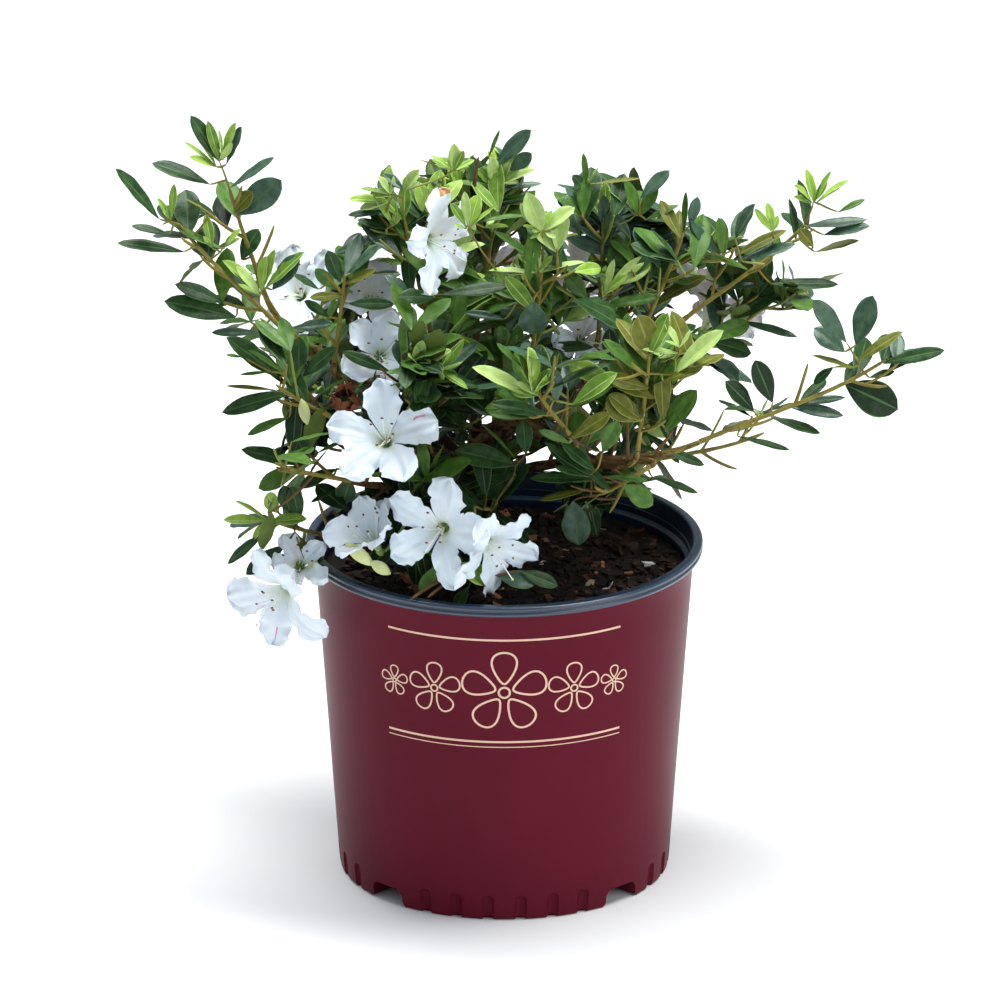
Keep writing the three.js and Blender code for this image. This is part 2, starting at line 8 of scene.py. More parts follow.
import bpy
import numpy as np
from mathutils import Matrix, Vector


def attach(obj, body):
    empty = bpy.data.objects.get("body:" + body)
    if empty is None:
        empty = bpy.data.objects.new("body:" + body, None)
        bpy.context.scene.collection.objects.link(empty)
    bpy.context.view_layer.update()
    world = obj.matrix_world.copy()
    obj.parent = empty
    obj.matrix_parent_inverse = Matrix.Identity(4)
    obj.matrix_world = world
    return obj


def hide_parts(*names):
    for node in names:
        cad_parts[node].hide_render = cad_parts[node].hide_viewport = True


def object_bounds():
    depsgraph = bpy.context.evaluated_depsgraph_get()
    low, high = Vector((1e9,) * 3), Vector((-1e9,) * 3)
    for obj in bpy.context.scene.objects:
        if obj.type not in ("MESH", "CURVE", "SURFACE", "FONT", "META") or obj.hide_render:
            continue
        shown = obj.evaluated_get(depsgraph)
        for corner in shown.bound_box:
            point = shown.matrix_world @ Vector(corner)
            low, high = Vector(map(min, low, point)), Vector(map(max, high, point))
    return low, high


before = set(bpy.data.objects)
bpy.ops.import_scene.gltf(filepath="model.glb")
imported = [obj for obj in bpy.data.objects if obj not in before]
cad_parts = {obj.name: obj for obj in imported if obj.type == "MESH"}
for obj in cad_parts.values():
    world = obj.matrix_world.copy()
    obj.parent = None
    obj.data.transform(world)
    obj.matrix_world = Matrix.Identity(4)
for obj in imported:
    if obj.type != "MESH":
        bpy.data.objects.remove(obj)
CAD_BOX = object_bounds()

MM = 0.001
UP = np.array([0.0, 0.0, 1.0])

# Camera: its rise above the level in degrees, distance, lens and aim, and by how much the
# places read off the picture lie too high
CAMERA_RISE = 20.4
CAMERA_REACH = 10000
CAMERA_LENS = 512.8
CAMERA_AIM = (-3.0, 0.0, 271.1)
READ_SHIFT = 1.1

# Pot: the sizes of the solid, with finer ledges, flutes and drains
POT_HEIGHT = 243
RIM_RADIUS = 139.7
BASE_RADIUS = 116.3
WALL_FLARE = 0.0728
WALL = 3.2
FLOOR = 3
LIP_HEIGHT = 7.6
LIP_WIDTH = 7
UPPER_LEDGE = 12.5
LOWER_LEDGE = 20
LEDGE_STEP = 2.6
LEDGE_WIDTH = 2.3
LINING = 1.2
FOOT_CURL = 2.5
FEET = 4
DRAIN_WIDTH = 29
DRAIN_HEIGHT = 13
DRAIN_DEPTH = 22
DRAIN_CORNER = 6
FLUTES_PER_FOOT = 6
FLUTE_PITCH = 11.25
FLUTE_RADIUS = 5
FLUTE_HEIGHT = 19.5
FLUTE_DEPTH = 3
FLUTE_CROWN = (0, 20, 40, 60, 78, 90)
SCALLOP_RISE = 2.2
SCALLOP_REACH = (-4.5, 0, 6)
DRAIN_FLARE = 4
MIX_TOP = 220.5

# Growth: the same rule and the same numbers as the solids
FORK = np.array([-25.0, 0.0, 262.0])
TRUNK_FOOT = np.array([-27.0, -2.0, MIX_TOP + 0.3])
TRUNK_TOP = np.array([-21.0, 7.0, 300.0])
TRUNK_LEAN = (40, 80)
TRUNK_RADII = (12.5, 7.5)
ROOT_FLARE = 6
FLARE_SHARE = 0.3
MAIN_LIMB = (6.4, 3.2)
SIDE_LIMB = (4.6, 3.0)
STEM = (3.2, 2.2)
GAP = 0.3
LIMB_PIECES = 8
STEM_PIECES = 4
LENGTH_PIECES = 24
SIDE_SHOOTS = 3
SHOOT_PLACES = (0.2, 0.8)
SHOOT_SHARES = (0.62, 0.42)
SHOOT_VARIETY = 0.1
SHOOT_TURN = 45
SHOOT_ANGLE = 50
SHOOT_LIFT = 0.45
GOLDEN_ANGLE = 137.5
SIDE_SLANT = 0.35
BORDER = 0.04
BLOOM_ROOM = {"radius": 41, "back": 28, "front": 10}
LIMB_CLEARANCE = 2.2
POT_CLEARANCE = 3.5
SAMPLE_STEP = 7
BLOOM_RADIUS = 38
BLOOM_DEPTH = 24

# Name, limb it leaves, how far along, heading, rise and reach of the limb's end from the
# fork, the same of the shoot from the limb's end, and the spread of the mass of foliage
GROWTH = [
    ("left_top", "trunk", 0.78, (186, 50, 224), (189, 73, 80), 62),
    ("crown_top", "trunk", 1, (62, 84, 152), (344, 80, 94), 62),
    ("crown_mid", "trunk", 0.9, (311, 62, 139), (298, 78, 88), 62),
    ("right_upper", "trunk", 0.84, (7, 42, 208), (7, 38, 104), 64),
    ("right_low", "trunk", 0.6, (346, 22, 179), (4, 24, 142), 60),
    ("left_low", "trunk", 0.5, (216, 24, 111), (202, 21, 60), 56),
    ("back_left", "trunk", 0.62, (126, 34, 104), (128, 34, 105), 72),
    ("back_right", "trunk", 0.7, (43, 32, 150), (56, 46, 104), 74),
    ("back_centre", "trunk", 0.95, (87, 49, 128), (80, 55, 96), 70),
    ("back_low", "trunk", 0.42, (80, 13, 100), (87, 28, 100), 66),
    ("left_far", "left_top", 0.7, (195, 48, 198), (184, 48, 108), 56),
    ("left_inner", "left_top", 0.5, (206, 51, 165), (325, 82, 66), 56),
    ("left_mid", "left_low", 0.55, (215, 40, 135), (192, 34, 60), 54),
    ("left_base", "left_low", 0.35, (208, -3, 95), (196, 22, 66), 52),
    ("crown_left", "crown_top", 0.5, (216, 77, 146), (205, 77, 88), 58),
    ("centre_left", "crown_mid", 0.35, (246, 46, 92), (235, 67, 90), 58),
    ("front_lime", "crown_mid", 0.5, (310, 37, 143), (227, 51, 64), 54),
    ("right_top", "right_upper", 0.4, (0, 56, 163), (0, 88, 84), 60),
    ("right_high", "right_upper", 0.62, (353, 49, 187), (351, 69, 78), 56),
    ("right_mid", "right_upper", 0.55, (19, 30, 178), (7, 36, 94), 58),
    ("front_gold", "right_low", 0.5, (326, 28, 161), (283, 68, 88), 56),
    ("front_low", "right_low", 0.6, (339, 21, 146), (205, -20, 44), 50),
    ("right_under", "back_right", 0.42, (27, 6, 133), (12, 10, 94), 58),
    ("back_low_left", "back_left", 0.45, (119, 13, 95), (130, 20, 105), 64),
    ("back_low_right", "back_right", 0.5, (42, 10, 122), (53, 22, 106), 64),
    ("front_left", "trunk", 0.3, None, (238, 34, 98), 56),
    ("front_right", "trunk", 0.36, None, (285, 32, 96), 56),
]

# The mass that each bloom grows on, heading, rise and reach of its throat from the fork, the
# way its face looks, by how much that differs in the look, its size, how far its lobes bend
# back, how far it is turned, the share of it that leaves keep clear, and how far right and
# up it is moved in the picture
BLOOMS = [
    ("centre_left", (242, 38, 158), (268, 14), (-6, 24), 0.87, 0.6, -10, 0.8, (0, 0)),
    ("crown_left", (247, 73, 232), (305, 22), (14, -18), 0.84, 1.1, 18, 0.8, (9, 1)),
    ("front_left", (252, 7, 129), (262, 6), (-14, 2), 0.9, 1.0, -15, 0.8, (17, 14)),
    ("front_right", (277, 10, 119), (296, 4), (12, -22), 0.82, 0.8, 8, 0.8, (5, -6)),
    ("front_left", (230, 11, 123), (215, 58), (0, 0), 0.72, 0.1, 0, 0.8, (8, -4)),
    ("left_base", (209, -12, 159), (232, -14), (0, 0), 0.93, 0.9, -12, 0.8, (0, -3)),
    ("left_inner", (168, 52, 200), (250, 45), (0, 0), 0.8, 0.6, 0, 0.4, (0, 0)),
    ("left_inner", (193, 68, 182), (290, 45), (0, 0), 0.7, 0.6, 0, 0.42, (0, 0)),
    ("left_mid", (225, 59, 165), (280, 35), (0, 0), 0.7, 0.5, 0, 0.42, (0, 0)),
    ("crown_mid", (0, 58, 156), (300, 38), (0, 0), 0.7, 0.6, 0, 0.3, (0, 0)),
    ("back_centre", (88, 42, 205), (92, 30), (0, 0), 0.95, 0.6, 0, 0.8, (0, 0)),
    ("back_low_left", (128, 18, 178), (138, 18), (0, 0), 0.95, 0.8, 0, 0.8, (0, 0)),
    ("back_right", (60, 36, 205), (62, 30), (0, 0), 0.9, 0.5, 0, 0.8, (0, 0)),
    ("back_low", (80, 14, 176), (84, 12), (0, 0), 0.95, 0.7, 0, 0.8, (0, 0)),
    ("right_mid", (30, 30, 235), (52, 36), (0, 0), 0.9, 0.5, 0, 0.8, (0, 0)),
]
# Smaller blooms of the same kind that only the look shows: one that opens, one withered
SMALL_BLOOMS = [
    ("left_base", (211, -5, 138), (268, 34), (0, 0), 0.5, 0.3, 20, 0.8, (0, 0)),
    ("left_inner", (209, 46, 140), (250, 30), (0, 0), 0.42, -0.9, 0, 0.8, (0, 0)),
]
# The withered one's number among all blooms
WITHERED = len(BLOOMS) + 1
# Which lobes of which blooms carry a pink streak, and which lobe has a brown tip
STREAKED = {(0, 3), (5, 0), (8, 2), (10, 1), (11, 4), (13, 0)}
BROWNED = {(1, 0)}
LOBES = 5


# Vectors and random numbers

def unit(vector):
    return vector / np.linalg.norm(vector)


def mix(low, high, share):
    return low + (high - low) * share


def squared(vector, axis):
    """The unit vector nearest to a vector that is square to an axis."""
    return unit(vector - axis * vector.dot(axis))


def toward(heading, rise):
    """A direction from a heading (0 along +X, 90 along +Y) and a rise, in degrees."""
    turn = math.radians(heading)
    lift = math.radians(rise)
    level = math.cos(lift)
    return np.array([level * math.cos(turn), level * math.sin(turn), math.sin(lift)])


def offset_from(point, polar):
    heading, rise, reach = polar
    return point + toward(heading, rise) * reach


def leaning(axis, azimuth, angle):
    """A direction that leans away from an axis, turned round it by the azimuth."""
    side = squared(np.array([-axis[2], SIDE_SLANT, axis[0]]), axis)
    across = np.cross(axis, side)
    turn = math.radians(azimuth)
    tilt = math.radians(angle)
    out = side * math.cos(turn) + across * math.sin(turn)
    return axis * math.cos(tilt) + out * math.sin(tilt)


RANDOM_STEP = 0x6D2B79F5
RANDOM_SPAN = 2 ** 32


def make_random(seed):
    """The numbers from 0 to 1 that the solids' shoots are drawn from."""
    mask = RANDOM_SPAN - 1
    state = seed

    def draw():
        nonlocal state
        state = (state + RANDOM_STEP) & mask
        t = state
        t = ((t ^ (t >> 15)) * (t | 1)) & mask
        t ^= (t + (((t ^ (t >> 7)) * (t | 61)) & mask)) & mask
        return (t ^ (t >> 14)) / RANDOM_SPAN

    return draw


class Curve:
    """A curve that leaves one point in one direction and reaches another in its own."""

    def __init__(self, start, start_way, end, end_way):
        third = np.linalg.norm(end - start) / 3
        self.knots = np.array([start, start + start_way * third, end - end_way * third, end])

    def point(self, t):
        s = 1 - t
        return np.array([s * s * s, 3 * s * s * t, 3 * s * t * t, t * t * t]) @ self.knots

    def tangent(self, t):
        s = 1 - t
        steps = np.diff(self.knots, axis=0)
        return unit(np.array([s * s, 2 * s * t, t * t]) @ steps)

    def path(self, pieces):
        return np.array([self.point(i / pieces) for i in range(pieces + 1)])

    def length(self):
        return float(np.linalg.norm(np.diff(self.path(LENGTH_PIECES), axis=0), axis=1).sum())


class Paths:
    """How far points are from each of several polylines."""

    def __init__(self, paths):
        self.start = np.concatenate([path[:-1] for path in paths])
        self.span = np.concatenate([path[1:] - path[:-1] for path in paths])
        self.square = (self.span ** 2).sum(1)
        counts = [len(path) - 1 for path in paths]
        self.first = np.cumsum([0] + counts[:-1])

    def distances(self, points):
        offset = points[:, None, :] - self.start
        share = np.clip((offset * self.span).sum(2) / self.square, 0, 1)
        gap = np.linalg.norm(offset - share[..., None] * self.span, axis=2)
        return np.minimum.reduceat(gap, self.first, axis=1)


# Trunk and boughs

class Limb:
    def __init__(self, name, curve, radii):
        self.name = name
        self.curve = curve
        self.radii = radii
        self.path = curve.path(LIMB_PIECES)


def trunk_radius(t):
    flare = max(0, 1 - t / FLARE_SHARE)
    return mix(*TRUNK_RADII, t) + ROOT_FLARE * flare * flare


def grow_limbs():
    trunk = Curve(TRUNK_FOOT, UP, TRUNK_TOP, toward(*TRUNK_LEAN))
    limbs = {"trunk": Limb("trunk", trunk, TRUNK_RADII)}
    for name, parent, along, bough, shoot, _ in GROWTH:
        if bough is None:
            continue
        stock = limbs[parent].curve
        start = stock.point(along)
        end = offset_from(FORK, bough)
        start_way = unit(stock.tangent(along) + unit(end - start))
        radii = MAIN_LIMB if parent == "trunk" else SIDE_LIMB
        limbs[name] = Limb(name, Curve(start, start_way, end, toward(*shoot[:2])), radii)
    return limbs


# Masses of foliage

# The way to the viewer, and the way that points up in the picture
VIEW = toward(270, CAMERA_RISE)
PICTURE_UP = toward(90, 90 - CAMERA_RISE)


def in_picture(right, up, behind):
    """A point from where the front view shows it: right of, above and behind the fork."""
    tilt = math.radians(CAMERA_RISE)
    rise = (up - READ_SHIFT - behind * math.sin(tilt)) / math.cos(tilt)
    return FORK + np.array([right, behind, rise])


class Bloom:
    def __init__(self, row):
        self.mass, throat, face, turn, self.width, self.bend, self.roll, self.clear, shift = row
        self.throat = offset_from(FORK, throat)
        self.centre = self.throat + np.array([shift[0], 0, 0]) + PICTURE_UP * shift[1]
        self.face = toward(*face)
        self.front = toward(face[0] + turn[0], face[1] + turn[1])


class Mass:
    """The stem of a mass starts a clearance beyond its bough, or on the trunk's own axis."""

    def __init__(self, index, row, limbs):
        self.index = index
        self.name, parent, along, bough, shoot, self.spread = row
        way = toward(*shoot[:2])
        if bough is None:
            start = limbs[parent].curve.point(along)
        else:
            start = limbs[self.name].curve.point(1) + way * GAP
        end = offset_from(start, shoot)
        self.curve = Curve(start, way, end, unit(way + UP * SHOOT_LIFT / 2))
        self.seed = index + 1


LIMBS = grow_limbs()
MASSES = [Mass(index, row, LIMBS) for index, row in enumerate(GROWTH)]
FLOWERS = [Bloom(row) for row in BLOOMS]
SMALL_FLOWERS = [Bloom(row) for row in SMALL_BLOOMS]
LIMB_PATHS = Paths([limb.path for limb in LIMBS.values()])
LIMB_ROOM = np.array([trunk_radius(0.5) if limb.name == "trunk" else mix(*limb.radii, 0.5)
                      for limb in LIMBS.values()]) + LIMB_CLEARANCE
STEM_PATHS = Paths([mass.curve.path(STEM_PIECES) for mass in MASSES])
SPREADS = np.array([mass.spread for mass in MASSES])


def outer_radius(z):
    return BASE_RADIUS + WALL_FLARE * z


def inner_radius(z):
    return outer_radius(z) - WALL


def is_in_room(throat, face, points, radius, back, front):
    """Whether points are in a short cylinder round a bloom."""
    offset = points - throat
    depth = offset @ face
    out = np.linalg.norm(offset - depth[:, None] * face, axis=1)
    return (out < radius) & (depth > -back) & (depth < front)


def nearness(points):
    """How near points are to each mass, as a share of the mass's spread."""
    near = STEM_PATHS.distances(points) / SPREADS
    names = [mass.name for mass in MASSES]
    for bloom in FLOWERS:
        near[is_in_room(bloom.throat, bloom.face, points, **BLOOM_ROOM), names.index(bloom.mass)] = 0
    return near


def is_clear_of_pot(points):
    out = np.hypot(points[:, 0], points[:, 1])
    height = points[:, 2]
    bore = inner_radius(MIX_TOP) - LEDGE_STEP
    inside = (out < bore - POT_CLEARANCE) & (height > MIX_TOP + POT_CLEARANCE)
    outside = (out > RIM_RADIUS + POT_CLEARANCE) & (height > POT_CLEARANCE)
    return (height > POT_HEIGHT + POT_CLEARANCE) | inside | outside


def is_free(mass, points):
    """A mass owns the points that are nearer to it than to any other mass, within its spread."""
    near = nearness(points)
    own = near[:, mass.index]
    free = (own <= 1) & is_clear_of_pot(points)
    free &= (LIMB_PATHS.distances(points) >= LIMB_ROOM).all(1)
    others = near >= own[:, None] + BORDER
    others &= STEM_PATHS.distances(points) > STEM[0] + LIMB_CLEARANCE
    others[:, mass.index] = True
    return free & others.all(1)


# What shoots grow as: the stem of a mass, a side shoot of it, a finer twig, a spur on a
# bough, the stalk of a leaf that stands out, or a bare twig
STEM_ORDER, SIDE_ORDER, FINE_ORDER, SPUR_ORDER, STALK_ORDER, BARE_ORDER = range(6)


class Shoot:
    """A leafy shoot: its curve, its radius at each end, and how it is turned."""

    def __init__(self, curve, radii, azimuth, mass, order):
        self.curve = curve
        self.radii = radii
        self.azimuth = azimuth
        self.mass = mass
        self.order = order


def plan_shoots(mass):
    """Side shoots spiral up the stem, as in the solids."""
    random = make_random(mass.seed)
    shoots = [Shoot(mass.curve, STEM_LOOK, 360 * random(), mass, STEM_ORDER)]
    for i in range(SIDE_SHOOTS):
        station = mix(*SHOOT_PLACES, i / (SIDE_SHOOTS - 1))
        start = mass.curve.point(station)
        axis = mass.curve.tangent(station)
        varied = 1 + SHOOT_VARIETY * (2 * random() - 1)
        length = mass.spread * mix(*SHOOT_SHARES, station) * varied
        azimuth = shoots[0].azimuth + GOLDEN_ANGLE * i
        for turn in range(0, 360, SHOOT_TURN):
            curve = shoot_curve(start, axis, azimuth + turn, SHOOT_ANGLE, length, SHOOT_LIFT)
            if is_free(mass, curve.path(math.ceil(length / SAMPLE_STEP))[2:]).all():
                shoots.append(Shoot(curve, TWIG_LOOK, 360 * random(), mass, SIDE_ORDER))
                break
    return shoots


def shoot_curve(start, axis, azimuth, angle, length, lift):
    way = leaning(axis, azimuth, angle)
    end_way = unit(way + UP * lift)
    return Curve(start, way, start + (way + end_way) * length / 2, end_way)


# Finer growth: twigs on the shoots and spurs on the boughs

# Radii at both ends of stems, side shoots and the rest, and how finer twigs and spurs leave the
# shoot or bough that bears them: where, how far turned, at what angle, how long, how upturned
STEM_LOOK = (1.8, 1.2)
TWIG_LOOK = (1.3, 1.1)
FINE_RADII = (1.1, 0.85)
STALK_RADII = (0.9, 0.6)
FINE_PLACES = (0.3, 0.92)
FINE_SCATTER = 0.6
FINE_TURN = 70
FINE_ANGLE = (38, 62)
FINE_LIFT = 0.5
FINE_REACH = 0.9
SPUR_STEP = 15
SPUR_PLACES = (0.2, 0.97)
SPUR_SCATTER = 0.7
SPUR_LENGTH = (20, 46)
SPUR_ANGLE = (45, 75)
SPUR_RADII = (1.5, 1.0)
TWIG_TRIES = 6
TWIG_PIECES = 5

# How many finer twigs a stem and a side shoot bear, and how long they are
FINE_COUNTS = (5, 3)
FINE_LENGTHS = ((26, 50), (18, 32))

# Masses that are more open than the rest, as a share of the usual number of twigs
OPENNESS = {
    "left_top": 0, "left_far": 0, "right_low": 0.2, "right_upper": 0.2, "right_high": 0.4,
    "left_base": 0, "front_low": 0.2, "right_under": 0.2, "right_top": 0.6,
    "left_low": 0.9, "left_mid": 0.8, "left_inner": 0.9, "front_right": 0.2, "right_mid": 0.5,
    "front_gold": 0.6, "front_lime": 0.6,
}

# The fork's place in the photo, in its pixels, and the photo's scale there: the pot's rim is
# 279.4 mm and spans 398 pixels
FORK_X = 468.7
FORK_Y = 513.8
MM_PER_PIXEL = 0.702


def from_fork(x, y):
    """How far right of the fork and above it a pixel of the photo lies, in whole mm."""
    return round((x - FORK_X) * MM_PER_PIXEL), round((FORK_Y - y) * MM_PER_PIXEL)


# Places where the crown is open when it is seen from the front, read in the photo's
# pixels: from the left, from the top, and the radius
OPEN_SPOTS = [
    (322, 205, 30), (320, 160, 36), (300, 118, 30), (345, 232, 14), (400, 116, 42),
    (455, 106, 38), (570, 126, 40), (620, 122, 42), (660, 138, 30), (708, 160, 32),
    (745, 170, 28), (780, 155, 28), (865, 160, 28), (795, 330, 17), (700, 384, 14), (730, 350, 9),
    (950, 300, 30), (900, 290, 18), (860, 255, 18), (750, 494, 36), (810, 484, 38),
    (862, 462, 34), (915, 432, 26), (722, 474, 14), (204, 440, 30), (208, 480, 34),
    (192, 352, 26), (188, 530, 36), (240, 492, 12), (320, 518, 10), (150, 330, 34),
    (165, 140, 18), (130, 145, 26), (640, 560, 34), (668, 530, 24), (612, 582, 20),
    (625, 522, 14), (540, 492, 12), (515, 505, 12),
]

# All such places: how far right of the fork, how far above it in the picture, and the radius
OPEN_PLACES = [
    (-68, 248, 9), (68, 248, 14), (176, 230, 13), (187, 41, 15), (-125, 203, 13), (-106, 190, 8),
    (27, 284, 15), (-44, 248, 9), (-68, 238, 8), (-81, 229, 8), (55, 234, 11), (168, 222, 9),
    (247, 178, 8), (-150, 47, 8), (-162, 70, 8), (-140, 22, 8), (-115, 181, 14), (8, 264, 8),
    (140, 223, 8), (155, 215, 7), (243, 103, 8), (306, 93, 9), (229, 58, 8), (162, 47, 8),
    (25, 181, 7), (79, 179, 6), (56, 215, 6), (4, 256, 6), (-190, 229, 8), (-160, 244, 6),
    (-146, 198, 6), (-125, 184, 7), (-118, 140, 7), (247, 210, 8), (208, 117, 6), (211, 136, 6),
    (155, 138, 8), (255, 149, 8), (201, 80, 6), (155, 82, 7), (155, 54, 6), (208, 61, 6),
    (-148, 30, 7), (-160, 91, 7), (32, 56, 6), (50, 35, 5), (35, 193, 6), (-63, 178, 6),
    (91, 187, 6), (34, 263, 9), (-125, 175, 10), (-103, 175, 8), (-138, 94, 8), (-139, 72, 8),
    (-138, 53, 8), (208, 51, 10), (169, 72, 8), (169, 89, 8), (236, 169, 8), (225, 191, 7),
    (170, 212, 7), (-212, 225, 9), (-150, 4, 5),
]
OPEN_PLACES += [(*from_fork(x, y), round(radius * MM_PER_PIXEL)) for x, y, radius in OPEN_SPOTS]


def in_open_place(points):
    right = points[:, 0] - FORK[0]
    up = (points - FORK) @ PICTURE_UP
    open_place = np.zeros(len(points), bool)
    for place_right, place_up, radius in OPEN_PLACES:
        open_place |= np.hypot(right - place_right, up - place_up) < radius
    return open_place


# The room of a bloom in the look, and how squarely it has to face the viewer to stay clear
PETAL_ROOM = {"back": 9, "front": 12}
FACING_LIMIT = 0.35


def sees_bloom(points):
    """Whether points are in front of a bloom that faces the viewer, or in its petals."""
    hidden = np.zeros(len(points), bool)
    for bloom in FLOWERS:
        reach = BLOOM_RADIUS * bloom.width
        hidden |= is_in_room(bloom.centre, bloom.front, points, reach, **PETAL_ROOM)
        if bloom.front @ VIEW > FACING_LIMIT:
            offset = points - bloom.centre
            depth = offset @ VIEW
            out = np.linalg.norm(offset - depth[:, None] * VIEW, axis=1)
            hidden |= (depth > 0) & (out < bloom.clear * BLOOM_RADIUS * bloom.width)
    return hidden


def has_room(points):
    """Whether points are clear of the pot, the limbs and the blooms, and in no open place."""
    limbs = (LIMB_PATHS.distances(points) >= LIMB_ROOM).all(1)
    return is_clear_of_pot(points) & limbs & ~sees_bloom(points) & ~in_open_place(points)


def own_random(point, number=0):
    """Random numbers for what starts at a point, which a change elsewhere leaves as they are."""
    return np.random.default_rng([number, *(np.abs(point) * 1000).astype(int)])


def grow_fine(shoots):
    """Finer twigs, which stay within the reach of their own mass."""
    fine = []
    for shoot in shoots:
        count = round(FINE_COUNTS[shoot.order] * OPENNESS.get(shoot.mass.name, 1))
        for i in range(count):
            rng = own_random(shoot.curve.point(0), i + 1)
            station = mix(*FINE_PLACES, (i + rng.uniform(0, FINE_SCATTER)) / count)
            start = shoot.curve.point(station)
            axis = shoot.curve.tangent(station)
            length = rng.uniform(*FINE_LENGTHS[shoot.order])
            azimuth = shoot.azimuth + FINE_TURN + GOLDEN_ANGLE * i
            for turn in range(TWIG_TRIES):
                angle = rng.uniform(*FINE_ANGLE)
                turned = azimuth + 360 * turn / TWIG_TRIES
                curve = shoot_curve(start, axis, turned, angle, length, FINE_LIFT)
                points = curve.path(TWIG_PIECES)[2:]
                near = nearness(points)
                own = near[:, shoot.mass.index]
                inside = (own < FINE_REACH).all() and (own <= near.min(1) + BORDER).all()
                if inside and has_room(points).all():
                    twig = Shoot(curve, FINE_RADII, rng.uniform(0, 360), shoot.mass, FINE_ORDER)
                    fine.append(twig)
                    break
    return fine


def grow_spurs():
    """Short spurs on the boughs, which fill the inside of the crown."""
    spurs = []
    for limb in LIMBS.values():
        owner = "front_right" if limb.name == "trunk" else limb.name
        mass = next(mass for mass in MASSES if mass.name == owner)
        length = limb.curve.length()
        count = int(length * (1 - SPUR_PLACES[0]) / SPUR_STEP)
        azimuth = own_random(limb.curve.point(1)).uniform(0, 360)
        for i in range(count):
            rng = own_random(limb.curve.point(1), i + 1)
            station = mix(*SPUR_PLACES, (i + rng.uniform(0, SPUR_SCATTER)) / count)
            start = limb.curve.point(station)
            axis = limb.curve.tangent(station)
            reach = rng.uniform(*SPUR_LENGTH)
            for turn in range(TWIG_TRIES):
                angle = rng.uniform(*SPUR_ANGLE)
                turned = azimuth + GOLDEN_ANGLE * i + 360 * turn / TWIG_TRIES
                curve = shoot_curve(start, axis, turned, angle, reach, FINE_LIFT)
                if has_room(curve.path(TWIG_PIECES)[3:]).all():
                    spurs.append(Shoot(curve, SPUR_RADII, rng.uniform(0, 360), mass, SPUR_ORDER))
                    break
    return spurs


# Leaves

LEAF_STATIONS = 12
LEAF_LOOKS = ["leaf_deep", "leaf_dark", "leaf_green", "leaf_blue_painted_sheen", "leaf_olive", "leaf_lime",
              "leaf_pale", "leaf_spring"]
RIB_AND_EDGE_LOOKS = ["rib_and_edge_highlight_dark", "rib_and_edge_highlight_olive", "rib_and_edge_highlight_young"]
# Underside colours: partly the undersides' own colour, partly painted glow of light through the leaf
UNDER_GLOW_LOOKS = ["under_glow_dark", "under_glow_olive", "under_glow_young"]
DEEP, DARK, GREEN, BLUE, OLIVE, LIME, PALE, SPRING = range(8)
YOUNG_TONES = (LIME, PALE, SPRING)
YOUNG_SHARES = (0.42, 0.22, 0.36)

# How often the tip of a shoot carries new growth, by mass
NEW_GROWTH = {
    "crown_left": 0.9, "crown_top": 0.9, "crown_mid": 0.8, "front_lime": 0.95, "left_base": 0.7,
    "left_top": 0.6, "left_far": 0.5, "left_inner": 0.5, "right_top": 0.55, "right_high": 0.5,
    "right_upper": 0.5, "front_gold": 0.6, "right_mid": 0.3, "centre_left": 0.15,
    "back_centre": 0.5, "back_left": 0.5, "back_right": 0.5,
}

# The shades of the grown leaves, with how often each comes, by part of the crown; the deep inner ones are
# painted shade
SHADES = {
    "bright": ((GREEN, 4), (DARK, 5), (BLUE, 3), (SPRING, 1)),
    "left": ((DARK, 4), (GREEN, 5), (DEEP, 1), (BLUE, 1)),
    "right": ((BLUE, 4), (DARK, 5), (GREEN, 4), (OLIVE, 1)),
    "gold": ((OLIVE, 6), (GREEN, 4), (LIME, 1)),
    # Deep tones for leaves near the fork: painted shade inside the crown
    "inner": ((DEEP, 7), (DARK, 3)),
}
BRIGHT_MASSES = ("crown_left", "crown_top", "crown_mid", "front_lime", "left_base")
GOLD_MASSES = ("front_gold",)
INNER_REACH = 160

# Masses with leaves that are placed one by one where they show: how far their grown leaves
# may point to the viewer, from -1, away, to 1
GROWN_LIMITS = {
    "left_top": -0.5, "left_far": -0.5, "left_base": -0.5, "right_low": -0.5, "right_upper": -0.5,
    "front_low": -0.5, "front_gold": 0.1, "front_lime": 0, "left_mid": 0, "left_inner": 0.1,
    "crown_left": 0.15, "crown_mid": 0.15, "crown_top": 0.25, "right_top": 0.1, "right_high": 0.1,
}
BACK_SIDE = 30
